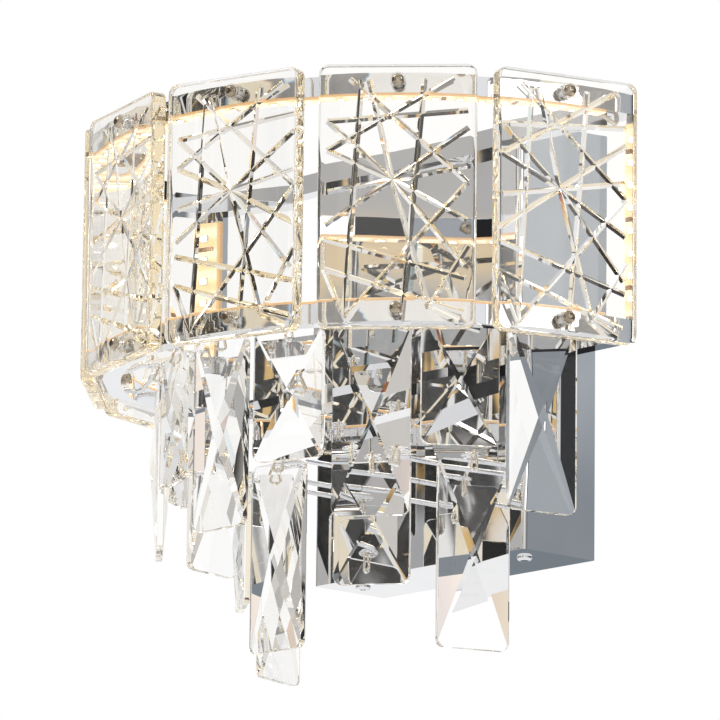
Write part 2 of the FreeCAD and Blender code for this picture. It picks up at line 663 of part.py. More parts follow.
def top_frame():
    """Top frame, with the holes for the strip lead."""
    ring = frame(TOP_FRAME_HEIGHT)
    through = TUBE_WALL + CUT_OVERSHOOT
    hole = lead_hole_point()
    ring = drill(ring, grommet_hole(), hole + PAST_IN, hole + OUT * through)
    outlet = strip_lead_outlet()
    exit_hole = STRIP_LEAD_DIAMETER + 2 * HOLE_CLEARANCE
    return drill(ring, exit_hole, outlet - UP * CUT_OVERSHOOT, outlet + UP * through)


def bottom_frame():
    """Bottom frame, with the tapped holes for the eye pins."""
    ring = frame(BOTTOM_FRAME_HEIGHT)
    tapped = PIN_DIAMETER + 2 * THREAD_CLEARANCE
    for angle, _, _ in OUTER_ROW:
        ring = drill(ring, tapped, ring_point(angle, INNER_RADIUS - CUT_OVERSHOOT, BOTTOM_FRAME_HEIGHT),
                     ring_point(angle, INNER_RADIUS + TUBE_WALL + CUT_OVERSHOOT, BOTTOM_FRAME_HEIGHT))
    return ring


def post_sides():
    """Low and high X of the right-hand post."""
    outer = ARC_RADIUS + POST_OVERHANG
    return outer - POST_WIDTH, outer


def end_posts():
    low = BOTTOM_FRAME_HEIGHT + TUBE_HEIGHT / 2
    high = TOP_FRAME_HEIGHT - TUBE_HEIGHT / 2
    near, far = post_sides()
    right = block(near, far, -BOX_DEPTH - POST_THICKNESS, -BOX_DEPTH, low, high)
    left = block(-far, -near, -BOX_DEPTH - POST_THICKNESS, -BOX_DEPTH, low, high)
    return Part.makeCompound([left, right])


def light_strip(low):
    """Strip along a frame's arc, from its lower face up."""
    margin = (TUBE_WIDTH - STRIP_WIDTH) / 2
    high = low + STRIP_THICKNESS
    return arc_strip(INNER_RADIUS + margin, ARC_RADIUS - margin, STRIP_ARC_ANGLE, low, high)


def side_light_strips():
    """Strips on the fronts of the end posts."""
    low = BOTTOM_FRAME_HEIGHT + TUBE_HEIGHT / 2 + POST_STRIP_GAP
    high = TOP_FRAME_HEIGHT - TUBE_HEIGHT / 2 - POST_STRIP_GAP
    back = -BOX_DEPTH - POST_THICKNESS
    near, far = post_sides()
    middle = (near + far) / 2
    strips = []
    for side in (-1, 1):
        strips.append(block(side * middle - STRIP_WIDTH / 2, side * middle + STRIP_WIDTH / 2,
                            back - STRIP_THICKNESS, back, low, high))
    return Part.makeCompound(strips)


def groove_tool(start, end):
    """Wedge that cuts one straight groove into the plate's back face."""
    along = vec(end[0] - start[0], 0, end[1] - start[1])
    proud = 0.2
    half = GROOVE_WIDTH / 2 * (GROOVE_DEPTH + proud) / GROOVE_DEPTH
    side = IN.cross(along).normalize() * half
    origin = vec(start[0], 0, start[1])
    lips = origin + IN * proud
    section = Part.makePolygon([lips - side, lips + side, origin + OUT * GROOVE_DEPTH, lips - side])
    return Part.Face(section).extrude(along)


def glass_plate():
    """Moulded plate facing straight out, with its back face at y = 0 and its bottom edge at z = 0."""
    plate = rounded_slab(PLATE_WIDTH, PLATE_HEIGHT, PLATE_THICKNESS, PLATE_CORNER_RADIUS, 0)
    plate = plate.cut([groove_tool(start, end) for start, end in GROOVES])
    for height in PLATE_SCREW_HEIGHTS:
        hole = PLATE_SCREW_DIAMETER + 2 * HOLE_CLEARANCE
        back = vec(0, CUT_OVERSHOOT, height)
        plate = drill(plate, hole, back, vec(0, -PLATE_THICKNESS - CUT_OVERSHOOT, height))
    return plate


def plate_fixing_places():
    """Angle and height of each plate screw."""
    return [(angle, height) for angle in PLATE_ANGLES for height in (BOTTOM_FRAME_HEIGHT, TOP_FRAME_HEIGHT)]


def outward(angle):
    """Unit vector away from the centre line."""
    return (ring_point(angle, 1, 0) - ring_point(angle, 0, 0)).normalize()


def plate_screws():
    grip = TUBE_WIDTH + PLATE_THICKNESS + 2 * WASHER_THICKNESS
    length = grip + CAP_NUT_HEIGHT - CAP_NUT_WALL - SEAT_GAP
    one = screw(PLATE_SCREW_DIAMETER, length, PLATE_HEAD_DIAMETER, PLATE_HEAD_HEIGHT)
    radius = PLATE_BACK_RADIUS + PLATE_THICKNESS + WASHER_THICKNESS
    return Part.makeCompound([aimed(one, ring_point(angle, radius, height), outward(angle))
                              for angle, height in plate_fixing_places()])


def plate_washers():
    """Clear washers on both sides of each plate."""
    one = washer(WASHER_DIAMETER, PLATE_SCREW_DIAMETER + 2 * HOLE_CLEARANCE, WASHER_THICKNESS)
    washers = []
    for angle, height in plate_fixing_places():
        for radius in (ARC_RADIUS, PLATE_BACK_RADIUS + PLATE_THICKNESS):
            washers.append(aimed(one, ring_point(angle, radius, height), outward(angle)))
    return Part.makeCompound(washers)


def cap_nut():
    """Cap nut on z = 0 with its dome upwards and its bore from below."""
    dome = domed_disc(CAP_NUT_DOME_DIAMETER / 2, CAP_NUT_HEIGHT)
    nut = dome.fuse(hexagon(CAP_NUT_WIDTH, CAP_NUT_HEX_HEIGHT)).removeSplitter()
    bore = PLATE_SCREW_DIAMETER + 2 * THREAD_CLEARANCE
    return drill(nut, bore, vec(0, 0, -CUT_OVERSHOOT), vec(0, 0, CAP_NUT_HEIGHT - CAP_NUT_WALL))


def plate_nuts():
    """Cap nuts inside the frames, each standing on its hexagon's corners against the tube's curve."""
    one = cap_nut()
    seat = math.sqrt(INNER_RADIUS ** 2 - CAP_NUT_WIDTH ** 2 / 3)
    return Part.makeCompound([aimed(one, ring_point(angle, seat, height), outward(angle) * -1)
                              for angle, height in plate_fixing_places()])


def eye(way):
    """Flat wire eye: its tip lies across y = 0 and its back lies a length along y, inwards or outwards."""
    half = EYE_WIDTH / 2
    back = way * EYE_LENGTH
    corners = [vec(-half, 0, 0), vec(half, 0, 0), vec(half, back, 0), vec(-half, back, 0)]
    return bent_wire(corners, EYE_CORNER_RADIUS, EYE_WIRE_DIAMETER, True)


def ring_hanger(rise):
    """Eye pin with its eye's tip at the origin: straight out of the frame, then bent up to the eye."""
    eye_back = OUT * EYE_LENGTH
    elbow = eye_back + OUT * NECK_LENGTH
    end = OUT * PIN_REACH - UP * rise
    foot = end - OUT * (PIN_END + TUBE_WALL + PIN_STRAIGHT)
    stem = bent_wire([end, foot, elbow, eye_back], NECK_BEND_RADIUS, PIN_DIAMETER)
    return eye(-1).fuse(stem).removeSplitter()


def ring_hangers():
    """Eye pins screwed into the bottom frame, pointing in."""
    hangers = {rise: ring_hanger(rise) for rise in (EYE_RISE, END_EYE_RISE)}
    return Part.makeCompound([on_ring(hangers[rise], angle, OUTER_ROW_RADIUS, BOTTOM_FRAME_HEIGHT + rise)
                              for angle, _, rise in OUTER_ROW])


def box_hangers():
    """Eye rods that come straight out of the box and turn to face their crystals."""
    hangers = []
    loop = eye(1)
    for angle, radius, _ in INNER_ROW:
        stem = bent_wire(hanger_rod_path(angle, radius), NECK_BEND_RADIUS, PIN_DIAMETER)
        placed = on_ring(loop, angle, radius, INNER_ROW_HEIGHT)
        hangers.append(placed.fuse(stem).removeSplitter())
    return Part.makeCompound(hangers)


def hanger_nuts():
    """Nuts on the hanger rods inside the box."""
    nut = hexagon(HANGER_NUT_WIDTH, HANGER_NUT_HEIGHT)
    bore = PIN_DIAMETER + 2 * THREAD_CLEARANCE
    nut = drill(nut, bore, vec(0, 0, -CUT_OVERSHOOT), vec(0, 0, HANGER_NUT_HEIGHT + CUT_OVERSHOOT))
    nuts = []
    for angle, radius, _ in INNER_ROW:
        start = hanger_rod_path(angle, radius)[0]
        nuts.append(aimed(nut, vec(start.x, -BOX_DEPTH + BOX_WALL, start.z), IN))
    return Part.makeCompound(nuts)


def crystal(length):
    """Crystal hanging below its hinge axis at the origin, with its two pyramid faces along y."""
    top = CRYSTAL_HOLE_DROP - LINK_REACH
    half, rim, peak = CRYSTAL_WIDTH / 2, CRYSTAL_RIM / 2, CRYSTAL_THICKNESS / 2
    middle = top - length / 2
    corners = [(-half, top - length), (half, top - length), (half, top), (-half, top)]
    faces = []
    for side in (-1, 1):
        apex = vec(0, side * peak, middle)
        edge = [vec(x, side * rim, z) for x, z in corners]
        for index in range(4):
            triangle = [edge[index], edge[(index + 1) % 4], apex, edge[index]]
            faces.append(Part.Face(Part.makePolygon(triangle)))
    for index in range(4):
        (x1, z1), (x2, z2) = corners[index], corners[(index + 1) % 4]
        side_points = [vec(x1, -rim, z1), vec(x2, -rim, z2), vec(x2, rim, z2), vec(x1, rim, z1)]
        faces.append(Part.Face(Part.makePolygon(side_points + side_points[:1])))
    cut = Part.Solid(Part.Shell(faces))
    if cut.Volume < 0:
        cut.reverse()
    reach = peak + CUT_OVERSHOOT
    outline = rounded_slab(CRYSTAL_WIDTH, length, 2 * reach, CRYSTAL_CORNER_RADIUS, top - length)
    outline.translate(IN * reach)
    stone = cut.common(outline)
    hole = -LINK_REACH
    return drill(stone, CRYSTAL_HOLE_DIAMETER, vec(0, -peak, hole), vec(0, peak, hole))


def link():
    """Closed wire link over the eye's tip, flaring down to a straight run through the crystal's hole."""
    flare = math.radians(LINK_FLARE)
    apex = LINK_TOP_RADIUS / math.sin(flare)
    low = -LINK_REACH + CRYSTAL_HOLE_DIAMETER / 2 - LINK_RADIUS - LINK_SEAT
    half = (apex - low) * math.tan(flare)
    corners = [vec(0, -half, low), vec(0, half, low), vec(0, 0, apex)]
    radii = [LINK_CORNER_RADIUS, LINK_CORNER_RADIUS, LINK_TOP_RADIUS]
    return bent_wire(corners, radii, LINK_WIRE_DIAMETER, True)


def hung_places():
    """Name, angle, radius, height and length of every crystal."""
    places = []
    for number, (angle, length, rise) in enumerate(OUTER_ROW, 1):
        places.append((f"outer_%s_{number}", angle, OUTER_ROW_RADIUS, BOTTOM_FRAME_HEIGHT + rise, length))
    for number, (angle, radius, length) in enumerate(INNER_ROW, 1):
        places.append((f"inner_%s_{number}", angle, radius, INNER_ROW_HEIGHT, length))
    return places


def all_parts():
    """Every node's name and shape."""
    parts = {
        "wall_box": wall_box(),
        "wall_bracket": wall_bracket(),
        "box_screws": box_screws(),
        "earth_screw": earth_screw(),
        "terminal_block": terminal_block(),
        "terminal_screw": terminal_screw(),
        "led_driver": led_driver(),
        "driver_screws": driver_screws(),
        "supply_leads": supply_leads(),
        "strip_lead": strip_lead(),
        "lead_grommet": lead_grommet(),
        "top_frame": top_frame(),
        "bottom_frame": bottom_frame(),
        "end_posts": end_posts(),
        "frame_screws": frame_screws(),
        "led_strip_top": light_strip(TOP_FRAME_HEIGHT - TUBE_HEIGHT / 2 - STRIP_THICKNESS),
        "led_strip_bottom": light_strip(BOTTOM_FRAME_HEIGHT + TUBE_HEIGHT / 2),
        "led_strips_side": side_light_strips(),
        "plate_screws": plate_screws(),
        "plate_washers": plate_washers(),
        "plate_nuts": plate_nuts(),
        "ring_hangers": ring_hangers(),
        "box_hangers": box_hangers(),
        "hanger_nuts": hanger_nuts(),
    }
    plate = glass_plate()
    for number, angle in enumerate(PLATE_ANGLES, 1):
        parts[f"glass_plate_{number}"] = on_ring(plate, angle, PLATE_BACK_RADIUS, PLATE_BOTTOM)
    wire = link()
    stones = {length: crystal(length) for length in (CRYSTAL_LONG, CRYSTAL_SHORT)}
    for name, angle, radius, height, length in hung_places():
        parts[name % "crystal"] = on_ring(stones[length], angle, radius, height)
        parts[name % "link"] = on_ring(wire, angle, radius, height)
    return parts


def main():
    os.makedirs("parts", exist_ok=True)
    for name, shape in all_parts().items():
        sound = all(solid.isValid() for solid in shape.Solids)
        print(f"{name:20s} solids {len(shape.Solids):3d} volume {shape.Volume:10.1f} valid {sound}")
        shape.exportStep(os.path.join("parts", name + ".step"))


main()
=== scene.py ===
"""Crystal wall sconce: its finishes, light strips, glass and crystals, and the studio round it, in metres."""

import logging
import math
from dataclasses import dataclass
from enum import Enum

import bmesh
import bpy
from mathutils import Matrix, Vector


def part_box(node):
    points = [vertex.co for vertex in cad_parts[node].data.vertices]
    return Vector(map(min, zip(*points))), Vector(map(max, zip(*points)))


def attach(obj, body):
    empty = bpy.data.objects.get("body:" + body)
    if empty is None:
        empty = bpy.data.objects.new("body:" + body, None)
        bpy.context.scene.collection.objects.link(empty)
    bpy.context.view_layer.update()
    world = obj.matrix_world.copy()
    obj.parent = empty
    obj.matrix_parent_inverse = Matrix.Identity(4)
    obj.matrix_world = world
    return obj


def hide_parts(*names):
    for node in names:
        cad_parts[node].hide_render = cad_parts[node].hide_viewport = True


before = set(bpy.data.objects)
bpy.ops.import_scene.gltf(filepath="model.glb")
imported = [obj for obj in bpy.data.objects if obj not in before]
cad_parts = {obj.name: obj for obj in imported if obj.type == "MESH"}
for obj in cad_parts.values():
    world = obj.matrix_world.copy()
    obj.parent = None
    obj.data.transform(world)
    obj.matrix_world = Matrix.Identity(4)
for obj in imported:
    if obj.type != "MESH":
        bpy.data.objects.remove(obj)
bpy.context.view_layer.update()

LOG = logging.getLogger("sconce")
MILLIMETRE = 0.001
MERGE_REACH = 0.001 * MILLIMETRE
PHOTO_SIDE_PIXELS = 720
SENSOR_WIDTH = 36.0
FOCAL_PIXELS = 6378.268
ROOT_BODY = "root"
OLD_NORMALS = "custom_normal"
ZERO_VECTOR = (0.0, 0.0, 0.0)
UP = Vector((0.0, 0.0, 1.0))

Colour = tuple[float, float, float]
Socket = bpy.types.NodeSocket
Value = float | Socket
Feeds = dict[str | int, object]


class NodeDesk:
    """Adds nodes to one tree and joins them, from left to right."""

    STEP = 190

    def __init__(self, tree: bpy.types.NodeTree) -> None:
        """Clears the tree.

        Args:
            tree: The tree that the nodes go into.
        """
        self.tree = tree
        self.count = 0
        tree.nodes.clear()

    def feed(self, socket: Socket, value: object) -> None:
        """Links a socket to another one, or sets it to a constant.

        Args:
            socket: The input socket.
            value: An output socket or a constant. A colour may come without its alpha.
        """
        if isinstance(value, bpy.types.NodeSocket):
            self.tree.links.new(value, socket)
        elif socket.type == "RGBA" and len(value) == 3:
            socket.default_value = (*value, 1.0)
        else:
            socket.default_value = value

    def step(self, kind: str, feeds: Feeds | None = None, **settings: object) -> bpy.types.Node:
        """Adds one node and feeds its inputs.

        Args:
            kind: The node's type name.
            feeds: What goes into each input, by the input's name or number.
            **settings: Properties to set on the node.

        Returns:
            The new node.
        """
        node = self.tree.nodes.new(kind)
        node.location = (self.STEP * self.count, 0)
        self.count += 1
        for name, value in settings.items():
            setattr(node, name, value)
        for label, value in (feeds or {}).items():
            self.feed(node.inputs[label], value)
        return node

    def result(self, kind: str, feeds: Feeds | None = None, **settings: object) -> Socket:
        """Adds one node as step does and returns its first output."""
        return self.step(kind, feeds, **settings).outputs[0]

    def math(self, operation: str, first: Value, second: Value = 0.0) -> Socket:
        """Adds a math node, of one or two inputs, and returns its result."""
        return self.result("ShaderNodeMath", {0: first, 1: second}, operation=operation)

    def vector(self, operation: str, first: object, second: object = ZERO_VECTOR) -> Socket:
        """Adds a vector math node and returns its result, a number for a dot product."""
        node = self.step("ShaderNodeVectorMath", {0: first, 1: second}, operation=operation)
        return node.outputs["Value" if operation == "DOT_PRODUCT" else "Vector"]

    def ramp(self, value: Value, low: float, high: float, start: float = 0.0, end: float = 1.0) -> Socket:
        """Maps a value smoothly from low and high to start and end, and holds it beyond them."""
        feeds = dict(enumerate((value, low, high, start, end)))
        return self.result("ShaderNodeMapRange", feeds, interpolation_type="SMOOTHSTEP", clamp=True)

    def mix(self, share: Value, first: object, second: object) -> Socket:
        """Mixes two colours.

        Args:
            share: The share of the second colour.
            first: A colour or a socket.
            second: A colour or a socket.

        Returns:
            The mixed colour.
        """
        node = self.step("ShaderNodeMix", {"Factor": share}, data_type="RGBA")
        for name, colour in (("A", first), ("B", second)):
            self.feed([s for s in node.inputs if s.name == name and s.type == "RGBA"][0], colour)
        return [s for s in node.outputs if s.type == "RGBA"][0]

    def noise(self, where: Socket, scale: Value, detail: float = 2.0, roughness: float = 0.5) -> Socket:
        """Adds a noise texture and returns its value."""
        feeds = {"Vector": where, "Scale": scale, "Detail": detail, "Roughness": roughness}
        return self.result("ShaderNodeTexNoise", feeds)

    def place(self) -> Socket:
        """Adds the object's own coordinates."""
        return self.step("ShaderNodeTexCoord").outputs["Object"]


def new_tree(name: str, kind: str, inputs: dict[str, str], outputs: dict[str, str]) -> bpy.types.NodeTree:
    """Makes a node tree with named sockets.

    Args:
        name: The tree's name.
        kind: The tree's type name.
        inputs: Each input's name and its type, without the NodeSocket prefix.
        outputs: The same for each output.

    Returns:
        The tree.
    """
    tree = bpy.data.node_groups.new(name, kind)
    for way, sockets in (("INPUT", inputs), ("OUTPUT", outputs)):
        for label, socket in sockets.items():
            tree.interface.new_socket(label, in_out=way, socket_type="NodeSocket" + socket)
    return tree


class SharedEffects:
    """Shader groups that several finishes use. Each is made once."""

    HANDLING = "handling_marks"
    GRAIN = "moulded_grain"
    SMEAR_EDGES = (0.45, 0.75)
    HAIR_EDGES = (0.66, 0.74)
    HAIR_TURN = (0.5, 0.3, 0.9)
    HAIR_STRETCH = (40.0, 1400.0, 900.0)
    SHADE_EDGES = (0.35, 0.65)

    @classmethod
    def group(cls, name: str) -> bpy.types.NodeTree:
        """Returns a group by its name, made at its first use."""
        found = bpy.data.node_groups.get(name)
        if found is None:
            found = cls.handling_marks() if name == cls.HANDLING else cls.moulded_grain()
        return found

    @classmethod
    def new_group(cls, name: str, inputs: dict[str, float], outputs: tuple[str, ...]) -> NodeDesk:
        """Starts a group of float sockets, whose inputs come with their usual values."""
        sides = [dict.fromkeys(labels, "Float") for labels in (inputs, outputs)]
        tree = new_tree(name, "ShaderNodeTree", *sides)
        for label, value in inputs.items():
            tree.interface.items_tree[label].default_value = value
        return NodeDesk(tree)

    @classmethod
    def handling_marks(cls) -> bpy.types.NodeTree:
        """Faint smears and hairline scratches of a polished surface."""
        desk = cls.new_group(cls.HANDLING, {"Scale": 40.0, "Smears": 0.03, "Scratches": 0.02},
                             ("Roughness", "Height"))
        given, where = desk.step("NodeGroupInput").outputs, desk.place()
        patches = desk.ramp(desk.noise(where, given["Scale"], 4.0), *cls.SMEAR_EDGES)
        stretch = desk.result("ShaderNodeMapping", {
            "Vector": where, "Rotation": cls.HAIR_TURN, "Scale": cls.HAIR_STRETCH})
        hairs = desk.ramp(desk.noise(stretch, 1.0, 1.0), *cls.HAIR_EDGES)
        haze = desk.math("MULTIPLY", patches, given["Smears"])
        worn = desk.math("MULTIPLY", hairs, given["Scratches"])
        desk.step("NodeGroupOutput", {"Roughness": desk.math("ADD", haze, worn),
                                      "Height": desk.math("MULTIPLY", worn, -1.0)})
        return desk.tree

    @classmethod
    def moulded_grain(cls) -> bpy.types.NodeTree:
        """Fine uneven skin of a moulded or cast surface, with a slight drift of shade."""
        desk = cls.new_group(cls.GRAIN, {"Scale": 900.0, "Drift": 18.0}, ("Shade", "Height"))
        given, where = desk.step("NodeGroupInput").outputs, desk.place()
        desk.step("NodeGroupOutput", {
            "Shade": desk.ramp(desk.noise(where, given["Drift"]), *cls.SHADE_EDGES),
            "Height": desk.noise(where, given["Scale"], 3.0)})
        return desk.tree


@dataclass(frozen=True)
class Finish:
    """A finish that is made into one material at its first use."""

    name: str
    slot: str

    def material(self) -> bpy.types.Material:
        """Returns this finish's material, made at its first use."""
        found = bpy.data.materials.get(self.name)
        if found is None:
            found = bpy.data.materials.new(self.name)
            found.use_nodes = True
            self.dress(NodeDesk(found.node_tree))
        return found

    def dress(self, desk: NodeDesk) -> None:
        """Builds the material's nodes."""
        raise NotImplementedError

    def surface(self, desk: NodeDesk, feeds: dict[str, object], volume: Socket | None = None) -> None:
        """Adds a Principled BSDF and the output.

        Args:
            desk: The material's desk.
            feeds: What goes into the Principled BSDF.
            volume: What fills the inside, if anything.
        """
        ends = {"Surface": desk.result("ShaderNodeBsdfPrincipled", feeds)}
        if volume is not None:
            ends["Volume"] = volume
        desk.step("ShaderNodeOutputMaterial", ends)

    def effect(self, desk: NodeDesk, name: str, **values: float) -> bpy.types.bpy_prop_collection:
        """Adds a shared group with its own values and returns its outputs."""
        return desk.step("ShaderNodeGroup", values, node_tree=SharedEffects.group(name)).outputs

    def bump(self, desk: NodeDesk, height: Socket, strength: float, distance: float) -> Socket:
        """Adds a bump node on a height and returns its normal."""
        feeds = {"Strength": strength, "Distance": distance, "Height": height}
        return desk.result("ShaderNodeBump", feeds)


@dataclass(frozen=True)
class PolishedMetal(Finish):
    """Plated or zinc-coated metal with faint handling marks."""

    colour: Colour
    shade: Colour
    roughness: float
    smears: float
    scratches: float
    scale: float

    GRAINS = 30

    def dress(self, desk: NodeDesk) -> None:
        """Metal whose gloss is broken a little by smears and hairlines."""
        marks = self.effect(desk, SharedEffects.HANDLING, Scale=self.scale, Smears=self.smears,
                            Scratches=self.scratches)
        grain = self.effect(desk, SharedEffects.GRAIN, Scale=self.scale * self.GRAINS, Drift=self.scale)
        self.surface(desk, {
            "Metallic": 1.0, "Base Color": desk.mix(grain["Shade"], self.colour, self.shade),
            "Roughness": desk.math("ADD", marks["Roughness"], self.roughness)})


@dataclass(frozen=True)
class Moulding(Finish):
    """Opaque moulded plastic or rubber."""

    colour: Colour
    shade: Colour
    roughness: float
    grain: float
    depth: float = 0.02 * MILLIMETRE

    DRIFT = 30.0
    GRAIN_STRENGTH = 0.6
    MARKS = {"Scale": 60.0, "Smears": 0.12, "Scratches": 0.1}

    def dress(self, desk: NodeDesk) -> None:
        """Plastic with a fine moulded grain and a slight drift of shade."""
        grain = self.effect(desk, SharedEffects.GRAIN, Scale=self.grain, Drift=self.DRIFT)
        marks = self.effect(desk, SharedEffects.HANDLING, **self.MARKS)
        self.surface(desk, {
            "Base Color": desk.mix(grain["Shade"], self.colour, self.shade),
            "Roughness": desk.math("ADD", marks["Roughness"], self.roughness),
            "Normal": self.bump(desk, grain["Height"], self.GRAIN_STRENGTH, self.depth)})


@dataclass(frozen=True)
class ClearGlass(Finish):
    """Clear glass or crystal with a faint body colour."""

    bend: float
    roughness: float
    body_colour: Colour
    density: float
    ripple_scale: float
    ripple_depth: float
    gleam: float = 1.0

    def dress(self, desk: NodeDesk) -> None:
        """Glass whose depth takes on the body colour, with a slight ripple of its skin."""
        feeds = {"Transmission Weight": 1.0, "IOR": self.bend, "Roughness": self.roughness,
                 "Base Color": (1.0, 1.0, 1.0), "Specular Tint": (self.gleam,) * 3}
        if self.ripple_depth:
            ripple = desk.noise(desk.place(), self.ripple_scale, 1.0)
            feeds["Normal"] = self.bump(desk, ripple, 1.0, self.ripple_depth)
        self.surface(desk, feeds, desk.result("ShaderNodeVolumeAbsorption", {
            "Color": self.body_colour, "Density": self.density}))


@dataclass(frozen=True)
class LitCoat(Finish):
    """Clear coat over a light strip: it glows at each light and less between them."""

    glow: Colour
    dim: Colour
    edge: Colour
    base: Colour
    strength: float
    pitch: float

    RUN = "run"
    LIT = "lit_side"
    WAVE_EDGES = (-0.9, 1.0)
    SIDE_EDGES = (0.3, 0.8)
    ROUGHNESS = 0.22

    def attribute(self, desk: NodeDesk, name: str) -> Socket:
        """Adds the value of a mesh's own attribute."""
        return desk.step("ShaderNodeAttribute", attribute_type="GEOMETRY", attribute_name=name).outputs["Fac"]

    def dress(self, desk: NodeDesk) -> None:
        """Coat whose glow rises and falls along the strip, with darker edges."""
        turns = desk.math("MULTIPLY", self.attribute(desk, self.RUN), 2 * math.pi / self.pitch)
        near = desk.ramp(desk.math("COSINE", turns), *self.WAVE_EDGES)
        lit = desk.ramp(self.attribute(desk, self.LIT), *self.SIDE_EDGES)
        self.surface(desk, {
            "Base Color": self.base, "Roughness": self.ROUGHNESS, "Emission Strength": self.strength,
            "Emission Color": desk.mix(lit, self.edge, desk.mix(near, self.dim, self.glow))})


@dataclass(frozen=True)
class LightLens(Finish):
    """Phosphor window of one light."""

    glow: Colour
    base: Colour
    strength: float

    ROUGHNESS = 0.35
    WARMER = (1.0, 0.92, 0.78)
    SKIN = {"Scale": 2500.0, "Drift": 260.0}

    def dress(self, desk: NodeDesk) -> None:
        """Phosphor that glows a little unevenly."""
        grain = self.effect(desk, SharedEffects.GRAIN, **self.SKIN)
        warmer = tuple(level * share for level, share in zip(self.glow, self.WARMER))
        self.surface(desk, {
            "Base Color": self.base, "Roughness": self.ROUGHNESS, "Emission Strength": self.strength,
            "Emission Color": desk.mix(grain["Shade"], self.glow, warmer)})


LIGHT_PITCH = 10.4 * MILLIMETRE
PITCH_SLACK = 0.999

CHROME = PolishedMetal("mirror_chrome", "chrome", (0.86, 0.865, 0.88), (0.82, 0.83, 0.85), 0.012, 0.025, 0.02,
                       25.0)
ZINC = PolishedMetal("zinc_sheet", "zinc_steel", (0.8, 0.81, 0.83), (0.7, 0.71, 0.74), 0.42, 0.05, 0.08, 90.0)
WIRE = PolishedMetal("bright_wire", "chrome", (0.8, 0.74, 0.64), (0.7, 0.62, 0.5), 0.04, 0.04, 0.04, 200.0)
KNOB = PolishedMetal("knob_metal", "plated_steel", (0.5, 0.43, 0.33), (0.34, 0.28, 0.21), 0.08, 0.06, 0.05,
                     300.0)
NICKEL = PolishedMetal("nickel_screw", "plated_steel", (0.78, 0.76, 0.72), (0.66, 0.64, 0.6), 0.1, 0.12, 0.1,
                       300.0)
COPPER = PolishedMetal("tinned_pad", "light_strip", (0.9, 0.62, 0.42), (0.8, 0.55, 0.38), 0.25, 0.15, 0.1,
                       400.0)
PLATE_GLASS = ClearGlass("moulded_plate_glass", "plate_glass", 1.5, 0.0, (0.97, 0.86, 0.58), 9.0, 90.0,
                         0.004 * MILLIMETRE)
CRYSTAL = ClearGlass("cut_crystal_glass", "crystal_glass", 1.56, 0.0, (0.97, 0.91, 0.74), 4.0, 0.0, 0.0, 0.3)
WASHER = ClearGlass("clear_washer_plastic", "clear_washer", 1.46, 0.12, (0.9, 0.88, 0.8), 30.0, 0.0, 0.0)
COAT = LitCoat("lit_strip_coat", "light_strip", (1.0, 0.84, 0.6), (0.92, 0.6, 0.3), (0.5, 0.27, 0.09),
               (0.75, 0.62, 0.45), 1.0, LIGHT_PITCH)
LENS = LightLens("light_phosphor", "light_strip", (1.0, 0.84, 0.58), (0.95, 0.8, 0.3), 16.0)
HOUSING = Moulding("light_housing", "light_strip", (0.93, 0.92, 0.88), (0.9, 0.88, 0.83), 0.4, 1800.0)
CASING = Moulding("driver_casing", "driver_white", (0.86, 0.86, 0.845), (0.82, 0.82, 0.8), 0.42, 1400.0)
TERMINAL = Moulding("terminal_moulding", "terminal_plastic", (0.82, 0.82, 0.78), (0.76, 0.76, 0.72), 0.38,
                    1600.0)
SLEEVE = Moulding("lead_sleeve_plastic", "lead_sleeve", (0.8, 0.8, 0.78), (0.72, 0.72, 0.7), 0.4, 1200.0)
RUBBER = Moulding("grommet_rubber_skin", "grommet_rubber", (0.035, 0.035, 0.037), (0.05, 0.05, 0.05), 0.6,
                  1500.0)


def dress_node(node: str, finish: Finish) -> None:
    """Gives a CAD node its finish and leaves its mesh as it is."""
    node_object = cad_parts[node]
    node_object.data.materials.clear()
    node_object.data.materials.append(finish.material())


def merged_mesh(node: str, flat: float = math.radians(0.4)) -> bmesh.types.BMesh:
    """Copies a CAD node's mesh, joins its corners and makes its flat faces whole.

    Args:
        node: The CAD node's name.
        flat: The angle under which two faces count as one.

    Returns:
        The copy as an open bmesh.
    """
    work = bmesh.new()
    work.from_mesh(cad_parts[node].data)
    bmesh.ops.remove_doubles(work, verts=work.verts, dist=MERGE_REACH)
    bmesh.ops.dissolve_limit(work, angle_limit=flat, verts=work.verts, edges=work.edges)
    return work


def break_edges(work: bmesh.types.BMesh, edges: list[bmesh.types.BMEdge], reach: float, steps: int) -> None:
    """Bevels a mesh's edges by a reach, in steps, and splits its many-sided faces."""
    bmesh.ops.bevel(work, geom=edges, offset=reach, offset_type="OFFSET", segments=steps, profile=0.5,
                    affect="EDGES", clamp_overlap=True)
    bmesh.ops.triangulate(work, faces=[face for face in work.faces if len(face.verts) > 4])


def new_object(name: str, data: bpy.types.ID) -> bpy.types.Object:
    """Makes an object with some data and puts it in the scene."""
    made = bpy.data.objects.new(name, data)
    bpy.context.scene.collection.objects.link(made)
    return made


def finished_piece(work: bmesh.types.BMesh, name: str, finish: Finish, smooth: float) -> bpy.types.Object:
    """Turns a bmesh into a piece of the object, at the origin.

    Args:
        work: The mesh, which is freed.
        name: The piece's name.
        finish: Its finish.
        smooth: Edges sharper than this angle stay sharp.

    Returns:
        The new object.
    """
    mesh = bpy.data.meshes.new(name)
    work.to_mesh(mesh)
    work.free()
    if OLD_NORMALS in mesh.attributes:
        mesh.attributes.remove(mesh.attributes[OLD_NORMALS])
    mesh.shade_smooth()
    mesh.set_sharp_from_angle(angle=smooth)
    mesh.materials.append(finish.material())
    return new_object(name, mesh)


def stand_for(piece: bpy.types.Object, body: str, slot: str, *nodes: str) -> None:
    """Makes a piece ride on a body and stand for CAD nodes."""
    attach(piece, body)
    if nodes:
        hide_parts(*nodes)


class Facing(Enum):
    """Which way a light strip looks."""

    UP = (0.0, 0.0, 1.0)
    DOWN = (0.0, 0.0, -1.0)
    OUT = (0.0, -1.0, 0.0)


